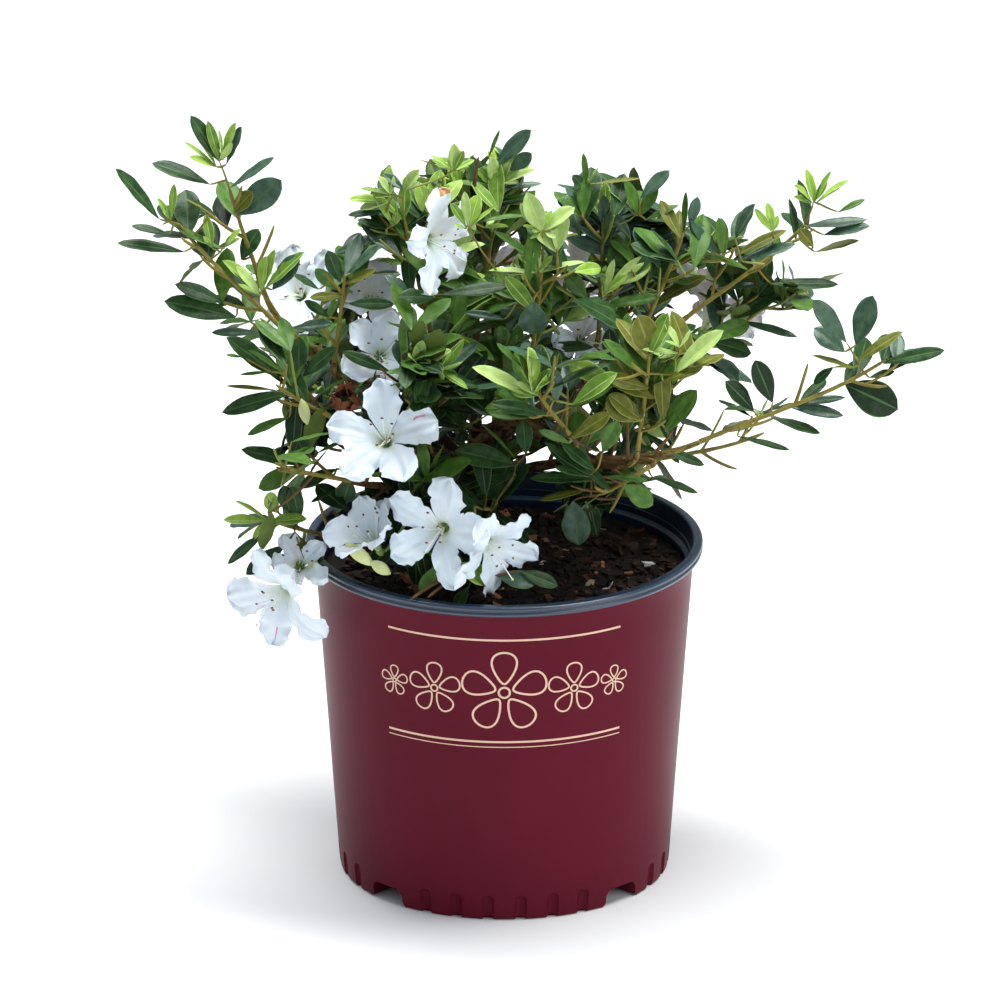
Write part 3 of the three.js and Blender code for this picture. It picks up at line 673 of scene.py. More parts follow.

# Leaves that stand out: how far behind the fork in mm, then each leaf from its root to its tip,
# read in the photo's pixels from the left and from the top, width over length, how far
# it is turned to the viewer, and its shade
PLACED_LEAVES = [
    ("left_top", -20, [
        (222, 165, 196, 121, 0.30, 0.3, DARK), (229, 168, 243, 131, 0.42, 0.3, BLUE),
        (212, 187, 157, 163, 0.34, 0.3, DARK), (233, 190, 277, 160, 0.30, 0.3, BLUE),
        (240, 218, 284, 184, 0.52, 0.4, BLUE), (236, 214, 255, 194, 0.60, 0.3, OLIVE),
        (243, 262, 260, 230, 0.60, 0.5, DARK), (222, 165, 213, 127, 0.24, 0.2, LIME),
        (225, 162, 222, 134, 0.30, 0.2, LIME), (226, 164, 237, 127, 0.30, 0.2, LIME),
        (219, 170, 188, 145, 0.18, 0.2, LIME),
    ]),
    ("left_far", -40, [
        (162, 222, 123, 172, 0.30, 0.3, DARK), (172, 237, 136, 226, 0.28, 0.3, DARK),
        (186, 255, 121, 245, 0.25, 0.4, DARK), (212, 216, 190, 200, 0.35, 0.3, OLIVE),
        (175, 220, 178, 187, 0.25, 0.2, LIME), (172, 222, 163, 200, 0.30, 0.2, LIME),
        (225, 252, 180, 231, 0.22, 0.3, GREEN), (215, 250, 210, 218, 0.30, 0.2, LIME),
        (228, 250, 242, 231, 0.30, 0.2, LIME), (262, 297, 226, 262, 0.34, 0.3, LIME),
        (264, 293, 276, 251, 0.32, 0.2, LIME), (268, 290, 307, 254, 0.30, 0.3, LIME),
        (275, 292, 300, 258, 0.45, 0.4, BLUE), (238, 318, 168, 301, 0.34, 0.6, DARK),
        (226, 304, 179, 285, 0.34, 0.5, DARK), (262, 334, 214, 331, 0.22, 0.5, BLUE),
    ]),
    ("left_inner", -45, [
        (282, 379, 229, 338, 0.36, 0.5, DARK), (286, 386, 258, 350, 0.30, 0.5, DARK),
    ]),
    ("left_mid", -60, [
        (290, 394, 222, 411, 0.27, 0.5, DARK), (291, 418, 248, 433, 0.30, 0.4, GREEN),
        (303, 465, 243, 448, 0.34, 0.6, DARK), (305, 467, 260, 488, 0.42, 0.5, GREEN),
        (311, 462, 290, 423, 0.48, 0.6, DARK), (338, 470, 300, 487, 0.38, 0.5, DARK),
    ]),
    ("left_base", -62, [
        (268, 521, 225, 519, 0.30, 0.4, LIME), (268, 520, 238, 500, 0.30, 0.3, LIME),
        (271, 518, 275, 496, 0.32, 0.3, LIME), (272, 522, 308, 517, 0.40, 0.5, SPRING),
        (296, 532, 318, 569, 0.28, 0.4, OLIVE), (323, 539, 316, 568, 0.40, 0.4, DEEP),
        (264, 535, 226, 562, 0.34, 0.5, DARK), (286, 545, 247, 574, 0.36, 0.5, DARK),
    ]),
    ("right_low", -32, [
        (843, 343, 811, 302, 0.36, 0.5, BLUE), (842, 353, 812, 329, 0.60, 0.6, BLUE),
        (854, 346, 869, 297, 0.50, 0.6, BLUE), (856, 362, 899, 331, 0.32, 0.3, OLIVE),
        (880, 364, 942, 349, 0.24, 0.4, DARK), (843, 386, 896, 410, 0.62, 0.85, DEEP),
        (868, 378, 892, 371, 0.38, 0.4, DARK), (850, 368, 811, 354, 0.28, 0.3, OLIVE),
        (830, 369, 811, 384, 0.50, 0.5, DARK), (771, 402, 754, 361, 0.46, 0.6, DEEP),
        (752, 411, 727, 382, 0.50, 0.5, DEEP), (790, 404, 843, 397, 0.18, 0.4, BLUE),
        (784, 406, 842, 416, 0.24, 0.4, BLUE), (770, 419, 819, 432, 0.26, 0.4, DARK),
        (737, 437, 789, 450, 0.18, 0.3, DARK), (660, 448, 704, 465, 0.24, 0.4, DARK),
        (652, 478, 698, 493, 0.26, 0.4, DARK),
    ]),
    ("right_upper", 25, [
        (812, 203, 805, 170, 0.34, 0.3, LIME), (813, 203, 829, 173, 0.28, 0.3, LIME),
        (815, 204, 848, 182, 0.30, 0.3, LIME), (810, 204, 793, 186, 0.36, 0.3, LIME),
        (803, 227, 866, 220, 0.22, 0.3, BLUE), (824, 236, 867, 224, 0.36, 0.4, BLUE),
        (837, 213, 863, 201, 0.30, 0.3, GREEN), (815, 253, 858, 240, 0.30, 0.3, OLIVE),
        (812, 248, 799, 230, 0.60, 0.4, OLIVE), (770, 284, 837, 283, 0.27, 0.5, DARK),
    ]),
    ("right_high", -10, [
        (739, 262, 793, 246, 0.28, 0.4, BLUE), (770, 233, 765, 204, 0.36, 0.3, LIME),
        (769, 233, 753, 212, 0.26, 0.3, LIME), (733, 238, 750, 206, 0.44, 0.4, BLUE),
        (716, 258, 688, 222, 0.34, 0.4, BLUE), (722, 260, 720, 220, 0.34, 0.4, GREEN),
        (733, 258, 784, 231, 0.24, 0.3, OLIVE),
    ]),
    ("right_mid", 45, [
        (712, 290, 765, 283, 0.25, 0.4, BLUE), (734, 319, 776, 287, 0.44, 0.5, DARK),
        (740, 322, 799, 333, 0.20, 0.3, BLUE), (711, 342, 753, 351, 0.48, 0.5, DARK),
    ]),
    ("front_low", -66, [
        (573, 501, 578, 545, 0.66, 0.9, BLUE), (590, 481, 531, 476, 0.20, 0.4, GREEN),
        (592, 478, 545, 443, 0.34, 0.5, DARK), (592, 474, 564, 439, 0.40, 0.5, DARK),
        (588, 490, 539, 498, 0.20, 0.3, OLIVE), (604, 477, 648, 477, 0.20, 0.4, GREEN),
    ]),
    ("front_gold", -105, [
        (650, 358, 635, 319, 0.60, 0.6, OLIVE), (673, 376, 718, 331, 0.30, 0.4, PALE),
        (672, 362, 641, 348, 0.30, 0.3, LIME), (652, 400, 607, 377, 0.38, 0.4, OLIVE),
        (570, 408, 614, 374, 0.36, 0.4, GREEN), (640, 421, 609, 395, 0.46, 0.5, OLIVE),
        (664, 430, 692, 392, 0.48, 0.5, GREEN), (567, 438, 608, 415, 0.28, 0.4, OLIVE),
        (643, 378, 603, 341, 0.26, 0.4, GREEN),
    ]),
    ("front_lime", -120, [
        (533, 396, 529, 352, 0.40, 0.4, LIME), (536, 393, 554, 368, 0.38, 0.4, LIME),
        (531, 398, 476, 366, 0.28, 0.3, PALE), (537, 397, 519, 366, 0.30, 0.3, LIME),
    ]),
    ("crown_mid", -80, [
        (533, 305, 533, 337, 0.85, 0.95, BLUE),
    ]),
    ("crown_left", -30, [
        (404, 194, 420, 173, 0.45, 0.5, PALE), (392, 197, 379, 181, 0.45, 0.5, PALE),
        (392, 199, 362, 190, 0.30, 0.3, LIME), (390, 204, 351, 202, 0.32, 0.3, LIME),
        (393, 228, 375, 193, 0.22, 0.3, LIME), (395, 229, 396, 205, 0.28, 0.3, LIME),
        (388, 215, 349, 218, 0.28, 0.4, DARK), (388, 232, 359, 221, 0.36, 0.4, DARK),
        (387, 238, 336, 254, 0.24, 0.4, BLUE), (404, 193, 385, 176, 0.45, 0.5, BLUE),
        (402, 256, 384, 246, 0.45, 0.4, GREEN), (403, 265, 379, 261, 0.30, 0.3, LIME),
        (405, 240, 396, 222, 0.40, 0.5, GREEN),
    ]),
    ("crown_left", -15, [
        (455, 174, 454, 148, 0.45, 0.4, PALE), (453, 174, 432, 158, 0.26, 0.3, LIME),
        (457, 174, 474, 162, 0.30, 0.3, LIME), (449, 176, 421, 160, 0.14, 0.3, OLIVE),
        (443, 190, 431, 179, 0.65, 0.6, DARK),
    ]),
    ("crown_top", 0, [
        (495, 186, 492, 161, 0.48, 0.5, PALE), (498, 186, 510, 165, 0.35, 0.4, PALE),
        (500, 186, 536, 172, 0.28, 0.4, PALE), (490, 186, 476, 170, 0.30, 0.3, LIME),
        (492, 189, 457, 184, 0.24, 0.3, GREEN), (496, 168, 530, 133, 0.38, 0.5, BLUE),
        (510, 173, 531, 156, 0.55, 0.6, BLUE), (502, 190, 541, 185, 0.24, 0.4, BLUE),
        (489, 161, 498, 134, 0.18, 0.3, GREEN), (500, 205, 521, 197, 0.35, 0.4, GREEN),
        (502, 200, 518, 191, 0.30, 0.3, LIME),
    ]),
    ("crown_mid", -72, [
        (470, 231, 479, 199, 0.50, 0.6, LIME), (466, 230, 453, 208, 0.32, 0.4, LIME),
        (468, 229, 465, 197, 0.28, 0.4, PALE), (472, 231, 497, 209, 0.24, 0.3, LIME),
        (476, 228, 524, 214, 0.20, 0.3, GREEN), (466, 233, 455, 228, 0.40, 0.4, LIME),
        (486, 232, 508, 229, 0.30, 0.3, LIME), (541, 234, 527, 199, 0.46, 0.6, PALE),
        (544, 234, 573, 211, 0.44, 0.6, PALE), (542, 233, 552, 214, 0.36, 0.4, LIME),
        (540, 236, 523, 229, 0.35, 0.3, LIME), (544, 236, 560, 229, 0.35, 0.3, PALE),
        (534, 276, 489, 271, 0.22, 0.3, PALE), (540, 276, 584, 263, 0.24, 0.4, PALE),
        (535, 275, 534, 256, 0.36, 0.4, LIME), (534, 275, 519, 257, 0.30, 0.3, LIME),
        (532, 257, 495, 235, 0.24, 0.4, GREEN), (538, 275, 551, 259, 0.34, 0.4, LIME),
    ]),
    ("right_top", -25, [
        (585, 300, 565, 274, 0.55, 0.7, GREEN), (580, 303, 556, 288, 0.28, 0.3, OLIVE),
        (604, 296, 613, 262, 0.24, 0.3, PALE), (607, 292, 638, 258, 0.24, 0.4, PALE),
        (602, 298, 606, 281, 0.38, 0.3, PALE), (600, 308, 659, 294, 0.22, 0.5, GREEN),
    ]),
    ("right_top", 0, [
        (585, 188, 584, 157, 0.20, 0.3, GREEN), (587, 187, 597, 171, 0.34, 0.3, LIME),
        (586, 193, 572, 178, 0.60, 0.6, DARK), (595, 186, 640, 179, 0.20, 0.4, OLIVE),
        (578, 193, 557, 186, 0.22, 0.4, BLUE), (577, 214, 557, 200, 0.55, 0.6, BLUE),
        (622, 254, 575, 226, 0.18, 0.5, BLUE), (618, 258, 567, 239, 0.28, 0.6, BLUE),
        (604, 232, 603, 198, 0.34, 0.5, BLUE), (606, 243, 613, 212, 0.34, 0.5, DARK),
    ]),
    ("right_top", -5, [
        (634, 218, 609, 192, 0.32, 0.4, LIME), (638, 218, 627, 185, 0.42, 0.6, GREEN),
        (640, 218, 656, 187, 0.42, 0.6, GREEN), (640, 200, 666, 172, 0.40, 0.5, BLUE),
        (646, 222, 677, 206, 0.30, 0.4, GREEN), (630, 240, 612, 214, 0.36, 0.5, BLUE),
    ]),
    ("right_high", -10, [
        (682, 235, 684, 194, 0.18, 0.3, GREEN), (688, 228, 696, 200, 0.42, 0.5, BLUE),
        (722, 256, 720, 221, 0.36, 0.6, GREEN), (712, 254, 689, 223, 0.30, 0.5, BLUE),
        (733, 240, 750, 206, 0.40, 0.5, BLUE), (727, 263, 696, 262, 0.24, 0.4, OLIVE),
    ]),
    ("left_inner", -50, [
        (342, 284, 331, 254, 0.42, 0.6, DARK), (352, 276, 381, 246, 0.28, 0.5, BLUE),
        (320, 291, 297, 276, 0.42, 0.5, DARK), (338, 291, 317, 272, 0.45, 0.5, GREEN),
        (345, 288, 377, 271, 0.26, 0.4, OLIVE), (346, 297, 312, 299, 0.30, 0.4, OLIVE),
        (351, 306, 394, 305, 0.32, 0.6, DARK), (331, 318, 307, 303, 0.42, 0.6, DARK),
        (297, 330, 333, 323, 0.34, 0.5, BLUE), (300, 379, 301, 338, 0.42, 0.7, DARK),
        (305, 377, 338, 348, 0.40, 0.6, DARK), (286, 376, 253, 349, 0.20, 0.4, GREEN),
    ]),
    ("centre_left", -72, [
        (443, 297, 511, 288, 0.24, 0.5, DARK), (434, 300, 401, 298, 0.50, 0.7, DARK),
        (505, 321, 464, 313, 0.24, 0.5, BLUE), (390, 373, 345, 353, 0.26, 0.5, DARK),
        (402, 367, 402, 342, 0.60, 0.6, BLUE), (398, 390, 356, 386, 0.16, 0.3, DARK),
    ]),
    ("left_mid", -55, [
        (272, 373, 242, 376, 0.14, 0.3, GREEN), (277, 391, 228, 384, 0.12, 0.3, OLIVE),
        (244, 359, 229, 355, 0.34, 0.4, GREEN), (321, 395, 346, 379, 0.20, 0.4, GREEN),
        (319, 411, 357, 397, 0.34, 0.6, DARK), (319, 412, 366, 418, 0.36, 0.6, DARK),
        (317, 454, 347, 438, 0.20, 0.3, GREEN), (340, 470, 366, 478, 0.25, 0.4, GREEN),
        (352, 480, 343, 503, 0.75, 0.8, DARK), (336, 490, 312, 503, 0.30, 0.4, DEEP),
        (291, 512, 285, 487, 0.60, 0.7, DARK), (301, 520, 293, 488, 0.45, 0.6, DARK),
    ]),
    ("front_lime", -122, [
        (532, 380, 530, 350, 0.50, 0.5, PALE), (530, 386, 520, 357, 0.32, 0.4, LIME),
        (533, 390, 556, 371, 0.48, 0.5, LIME), (521, 368, 497, 346, 0.20, 0.3, GREEN),
        (556, 402, 554, 371, 0.45, 0.5, BLUE), (573, 406, 614, 374, 0.34, 0.5, LIME),
        (546, 416, 491, 404, 0.28, 0.6, DARK), (573, 438, 607, 414, 0.36, 0.5, OLIVE),
        (568, 444, 538, 430, 0.34, 0.4, GREEN),
    ]),
    ("front_gold", -108, [
        (643, 350, 637, 322, 0.75, 0.8, OLIVE), (647, 380, 603, 341, 0.24, 0.4, GREEN),
        (676, 355, 640, 351, 0.24, 0.4, PALE), (677, 350, 664, 327, 0.38, 0.4, PALE),
        (646, 390, 606, 379, 0.40, 0.6, OLIVE), (661, 383, 699, 368, 0.32, 0.4, OLIVE),
        (631, 423, 607, 399, 0.70, 0.8, OLIVE), (664, 433, 694, 393, 0.34, 0.5, GREEN),
        (601, 453, 616, 423, 0.45, 0.6, GREEN), (594, 471, 563, 443, 0.42, 0.7, DARK),
        (589, 476, 544, 443, 0.24, 0.4, DARK), (589, 477, 555, 466, 0.30, 0.5, DARK),
    ]),
    ("front_low", -75, [
        (591, 479, 530, 475, 0.20, 0.4, DARK), (604, 477, 647, 479, 0.16, 0.4, GREEN),
        (578, 491, 538, 497, 0.12, 0.3, OLIVE), (515, 466, 456, 449, 0.40, 0.8, DARK),
        (526, 454, 523, 421, 0.52, 0.7, DARK), (516, 459, 485, 421, 0.15, 0.3, GREEN),
        (516, 476, 474, 497, 0.45, 0.7, DARK), (622, 486, 652, 505, 0.55, 0.8, GREEN),
    ]),
    ("centre_left", -20, [
        (538, 348, 592, 347, 0.28, 0.6, DARK), (613, 367, 608, 330, 0.42, 0.6, DEEP),
    ]),
    ("front_right", -110, [
        (456, 563, 489, 583, 0.62, 0.7, LIME), (497, 575, 536, 581, 0.52, 0.7, BLUE),
        (520, 571, 559, 584, 0.40, 0.6, DARK), (468, 586, 455, 608, 0.46, 0.7, DARK),
        (446, 562, 419, 589, 0.36, 0.6, GREEN),
    ]),
]


# Twigs with no leaves, from root to tip: right of the fork, above it in the picture and behind it
BARE_TWIGS = [
    ((-17, -45, -110), (-41, -60, -127)),
    ((4, 228, -8), (7, 248, -8)),
    ((-13, -47, -112), (-28, -58, -124)),
]

# How new leaves and others grow: how far they lean up, and the ranges that width over length,
# droop and fold are drawn from; now and then a leaf is broad
YOUNG_FORM = (0.1, (0.32, 0.42), (-0.15, 0.15), (0.25, 0.6))
GROWN_FORM = (0.22, (0.3, 0.42), (-0.02, 0.2), (0.05, 0.4))
BROAD_SHARE = 0.1
BROAD_RATIO = (0.45, 0.54)
LEAF_TWIST = 0.4
TURNED_LIFT = 0.1

# How the face of a leaf tends to the sky, and how unevenly
FACE_ALONG = 0.45
FACE_UP = 1.1
FACE_NOISE = 0.2


class Leaves:
    """Leaves as rows of numbers (root, way, face, length, width, bend, fold and twist), and for
    each its shade, its mass, whether it is one of those that stand out, and its shoot."""

    def __init__(self):
        self.rows = []
        self.shades = []
        self.masses = []
        self.placed = []
        self.bearers = []

    def add(self, root, way, face, sizes, shade, mass, placed=False, bearer=None):
        self.rows.append(np.concatenate([root, way, face, sizes]))
        self.shades.append(shade)
        self.masses.append(mass)
        self.placed.append(placed)
        self.bearers.append(bearer)


def add_leaf(leaves, shoot, station, azimuth, angle, length, rng, shade):
    axis = shoot.curve.tangent(station)
    young = shade in YOUNG_TONES
    lift, *ranges = YOUNG_FORM if young else GROWN_FORM
    way = unit(leaning(axis, azimuth, angle) + UP * lift)
    in_front = shoot.curve.point(1)[1] < BACK_SIDE
    limit = GROWN_LIMITS.get(shoot.mass.name, 1) if in_front else 1
    if way @ VIEW > limit:
        way = unit(leaning(axis, azimuth + 180, angle) + UP * TURNED_LIFT)
        if way @ VIEW > limit:
            return
    skyward = axis if young else axis * FACE_ALONG + UP * FACE_UP
    face = skyward - way * skyward.dot(way)
    face = squared(unit(face + FACE_NOISE * rng.normal(size=3)), way)
    ratio, bend, fold = [rng.uniform(*span) for span in ranges]
    if not young and rng.random() < BROAD_SHARE:
        ratio = rng.uniform(*BROAD_RATIO)
    root = shoot.curve.point(station) + way * shoot.radii[1] * 0.5
    sizes = [length, length * ratio, bend, fold, rng.uniform(-LEAF_TWIST, LEAF_TWIST)]
    leaves.add(root, way, face, sizes, shade, shoot.mass.index, bearer=shoot)


# How often leaves near the fork take the inner shades, deep tones that are painted shade inside the
# crown, and where the left of the crown ends
INNER_PAINTED_SHADE_SHARE = 0.92
LEFT_LIMIT = -20


def pick_shade(shoot, tip, rng):
    """A shade from the table for the part of the crown that a shoot's tip is in."""
    inner = np.linalg.norm(tip - FORK) < INNER_REACH
    if shoot.mass.name in GOLD_MASSES:
        table = SHADES["gold"]
    elif shoot.mass.name in BRIGHT_MASSES:
        table = SHADES["bright"]
    # Near the fork most leaves take the deep inner tones: painted shade inside the crown
    elif inner and rng.random() < INNER_PAINTED_SHADE_SHARE:
        table = SHADES["inner"]
    else:
        table = SHADES["left" if tip[0] < LEFT_LIMIT else "right"]
    tones, weights = zip(*table)
    return int(rng.choice(tones, p=np.array(weights) / sum(weights)))


# For a stem, side shoot, finer twig and spur: length of its leaves, how many its whorl has
# (fewer than the second number), and how far apart the single leaves below the whorl are
LEAF_SIZES = (43, 42, 39, 36)
WHORLS = ((5, 7), (5, 6), (4, 6), (4, 6))
LEAF_STEPS = (8, 9, 9, 11)

# How the leaves of a shoot stand: their angles to it, lengths, turn, share of it that bears
# them, the bare end below the whorl, and how often they keep to the shoot's shade
WHORL_ANGLE = (55, 82)
WHORL_STEP = 1.0
WHORL_ROOM = 6
SINGLE_ANGLE = (42, 66)
LEAFY_SHARE = 0.8
LOWEST_STATION = 0.15
LEAF_VARIETY = (0.68, 1.1)
LEAF_SCATTER = (-15, 15)
SAME_SHADE = 0.75

# New growth: how often a mass that isn't listed has it, how often it stays where leaves are
# placed one by one, its count, angles, lengths and turn, and how far below it the whorl is
USUAL_GROWTH = 0.15
KEPT_GROWTH = 0.3
KEPT_BRIGHT_GROWTH = 0.6
NEW_COUNT = (4, 8)
NEW_ANGLES = (16, 42, 6)
NEW_LENGTHS = (17, 31)
NEW_VARIETY = (0.85, 1.2)
NEW_TURN = 40
NEW_STEP = 0.5
NEW_ROOM = (5, 9)


def leaf_shoot(leaves, shoot):
    """A whorl at the shoot's tip, single leaves below it, and new growth on some tips."""
    rng = own_random(shoot.curve.point(1))
    length = shoot.curve.length()
    tip = shoot.curve.point(1)
    shade = pick_shade(shoot, tip, rng)
    name = shoot.mass.name
    young = shoot.order != SPUR_ORDER and rng.random() < NEW_GROWTH.get(name, USUAL_GROWTH)
    if name in GROWN_LIMITS and tip[1] < BACK_SIDE:
        kept = KEPT_BRIGHT_GROWTH if name in BRIGHT_MASSES else KEPT_GROWTH
        young = young and rng.random() < kept
    below = rng.uniform(*NEW_ROOM) if young else 0
    whorl = rng.integers(*WHORLS[shoot.order])
    step = LEAF_STEPS[shoot.order]
    single = int(max(0, length * LEAFY_SHARE - below - WHORL_ROOM) / step)
    for i in range(whorl + single):
        if i < whorl:
            back = below + WHORL_STEP * i
            angle = rng.uniform(*WHORL_ANGLE)
        else:
            back = below + whorl + step * (i - whorl + rng.uniform(0.3, 1))
            angle = rng.uniform(*SINGLE_ANGLE)
        station = max(LOWEST_STATION, 1 - back / length)
        tone = shade if rng.random() < SAME_SHADE else pick_shade(shoot, tip, rng)
        reach = LEAF_SIZES[shoot.order] * rng.uniform(*LEAF_VARIETY)
        azimuth = shoot.azimuth + GOLDEN_ANGLE * i + rng.uniform(*LEAF_SCATTER)
        add_leaf(leaves, shoot, station, azimuth, angle, reach, rng, tone)
    if young:
        add_new_growth(leaves, shoot, length, rng)


def add_new_growth(leaves, shoot, length, rng):
    """A tuft of small leaves in one young tone, the innermost the shortest and steepest."""
    tone = int(rng.choice(YOUNG_TONES, p=YOUNG_SHARES))
    count = int(rng.integers(*NEW_COUNT))
    steepest, span, scatter = NEW_ANGLES
    for i in range(count):
        angle = steepest + span * i / count + rng.uniform(-scatter, scatter)
        reach = mix(*NEW_LENGTHS, i / count) * rng.uniform(*NEW_VARIETY)
        azimuth = shoot.azimuth + NEW_TURN + GOLDEN_ANGLE * i
        add_leaf(leaves, shoot, 1 - NEW_STEP * i / length, azimuth, angle, reach, rng, tone)


# Leaves that stand out: how far a tip may lie before or behind its root, how uneven the face is,
# droop, folds and twist, how often a lime one is a spring one, and the small leaves that stand
# beside a new one: how many, how uneven, how long, how wide, their droop and folds
TIP_DEPTH = (-7, 7)
PLACED_NOISE = 0.12
PLACED_BEND = (0, 0.12)
YOUNG_FOLD = (0.35, 0.9)
GROWN_FOLD = (0.05, 0.4)
PLACED_TWIST = (-0.3, 0.3)
SPRING_SHARE = 0.3
BESIDE_COUNT = 2
BESIDE_NOISE = 0.42
BESIDE_REACH = (0.45, 0.85)
BESIDE_RATIO = (0.3, 0.42)
BESIDE_BEND = 0.05
BESIDE_FOLD = (0.3, 0.8)

# The stalk of such a leaf starts at the nearest limb or shoot, where what lies ahead of the
# leaf's root counts as further off, unless it would be very short
AHEAD_COST = 0.5
SHORTEST_STALK = 1.5


def find_anchors(shoots):
    """Points of limbs and larger shoots that stalks can start at."""
    anchors = [limb.curve.path(40)[6:] for limb in LIMBS.values()]
    anchors += [shoot.curve.path(16) for shoot in shoots if shoot.order in (STEM_ORDER, SIDE_ORDER)]
    return np.concatenate(anchors)


def add_beside(leaves, root, way, face, length, mass, rng):
    """A small young leaf beside one that stands out."""
    lean = unit(way + BESIDE_NOISE * rng.normal(size=3))
    beside = squared(face, lean)
    reach = length * rng.uniform(*BESIDE_REACH)
    sizes = [reach, reach * rng.uniform(*BESIDE_RATIO), BESIDE_BEND, rng.uniform(*BESIDE_FOLD), 0]
    tone = int(rng.choice(YOUNG_TONES, p=YOUNG_SHARES))
    leaves.add(root, lean, beside, sizes, tone, mass.index)


def place_leaves(leaves, shoots):
    """Adds the leaves that stand out, and returns their stalks and the bare twigs."""
    rng = np.random.default_rng(8)
    names = [mass.name for mass in MASSES]
    anchors = find_anchors(shoots)
    twigs = []
    for name, behind, rows in PLACED_LEAVES:
        mass = MASSES[names.index(name)]
        for root_x, root_y, tip_x, tip_y, ratio, facing, shade in rows:
            root = in_picture(*from_fork(root_x, root_y), behind)
            tip = in_picture(*from_fork(tip_x, tip_y), behind + rng.uniform(*TIP_DEPTH))
            way = unit(tip - root)
            length = np.linalg.norm(tip - root)
            skyward = VIEW * facing + UP * (1 - facing) + PLACED_NOISE * rng.normal(size=3)
            face = squared(skyward, way)
            young = shade in YOUNG_TONES
            bend = rng.uniform(*PLACED_BEND)
            fold = rng.uniform(*(YOUNG_FOLD if young else GROWN_FOLD))
            sizes = [length, length * ratio, bend, fold, rng.uniform(*PLACED_TWIST)]
            if shade == LIME and rng.random() < SPRING_SHARE:
                shade = SPRING
            leaves.add(root, way, face, sizes, shade, mass.index, placed=True)
            for _ in range(BESIDE_COUNT if young else 0):
                add_beside(leaves, root, way, face, length, mass, rng)
            ahead = np.maximum(0, (anchors - root) @ way)
            gaps = np.linalg.norm(anchors - root, axis=1) + AHEAD_COST * ahead
            start = anchors[np.argmin(gaps)]
            if np.linalg.norm(root - start) > SHORTEST_STALK:
                end_way = unit(unit(root - start) + way * 0.5)
                curve = Curve(start, unit(root - start + UP * 2), root, end_way)
                twigs.append(Shoot(curve, STALK_RADII, 0, mass, STALK_ORDER))
                anchors = np.concatenate([anchors, curve.path(4)[1:]])
    for start, end in BARE_TWIGS:
        start = in_picture(*start)
        end = in_picture(*end)
        curve = Curve(start, unit(end - start + UP * 3), end, unit(end - start - UP * 3))
        twigs.append(Shoot(curve, SPUR_RADII, 0, MASSES[0], BARE_ORDER))
    return twigs


# The section of a leaf: how far out each point of the ring is and how far it is lifted, and
# the part that each face belongs to: 0 the blade, 1 the midrib and the two margins, 2 the
# underside; the paler line of the margins is partly the leaf's own edge and partly a painted rim
# highlight
RING_SIDES = np.array([-1, -0.92, -0.5, -0.07, 0.07, 0.5, 0.92, 1, 0])
RING_LIFTS = np.array([-0.12, 0.1, 0.28, 0, 0, 0.28, 0.1, -0.12, -0.55])
RING_PARTS = [1, 0, 0, 1, 0, 0, 1, 2, 2]
LEAF_RING = len(RING_SIDES)
MIDRIB = 3

# The outline of a leaf, its narrowest half widths at root and tip, its fold and its wave, and
# the half width from which it has its whole thickness
STATION_POWER = 0.92
OUTLINE_POWERS = (1.28, 0.62)
ROOT_HALF = 0.55
TIP_HALF = 0.06
FOLD_RISE = 0.6
LEAF_WAVE = 0.05
THICK_FROM = 2.5


def leaf_points(rows):
    """The points of many leaves at once: leaves by stations by the ring of a section."""
    root, way, face = rows[:, 0:3], rows[:, 3:6], rows[:, 6:9]
    length, width, bend, fold, twist = rows[:, 9:14].T
    across = np.cross(way, face)
    along = np.linspace(0, 1, LEAF_STATIONS) ** STATION_POWER
    outline = np.sin(np.pi * along ** OUTLINE_POWERS[0]) ** OUTLINE_POWERS[1]
    half = np.maximum(outline * width[:, None] / 2, ROOT_HALF * (1 - along) + TIP_HALF)
    side = half[..., None] * RING_SIDES
    wave = LEAF_WAVE * np.sin(along * 17 + rows[:, :1] * 3)
    rise = np.abs(side) * (fold[:, None, None] * FOLD_RISE + wave[..., None])
    rise = rise + RING_LIFTS * np.minimum(1, half / THICK_FROM)[..., None]
    turn = (twist[:, None] * along)[..., None]
    out = side * np.cos(turn) - rise * np.sin(turn)
    up = side * np.sin(turn) + rise * np.cos(turn)
    droop = bend[:, None] * length[:, None] * along ** 2
    ahead = along * length[:, None] * (1 - 0.5 * bend[:, None] ** 2 * along ** 2)
    return (root[:, None, None] + way[:, None, None] * ahead[..., None, None]
            + across[:, None, None] * out[..., None]
            + face[:, None, None] * (up - droop[..., None])[..., None])


def leaf_faces():
    """The faces of one leaf, and the part of the leaf that each belongs to."""
    faces = []
    kinds = []
    for i in range(LEAF_STATIONS - 1):
        for k in range(LEAF_RING):
            here = i * LEAF_RING
            after = (k + 1) % LEAF_RING
            faces.append((here + k, here + after, here + LEAF_RING + after, here + LEAF_RING + k))
            kinds.append(RING_PARTS[k])
    return np.array(faces), np.array(kinds)


# Meshes

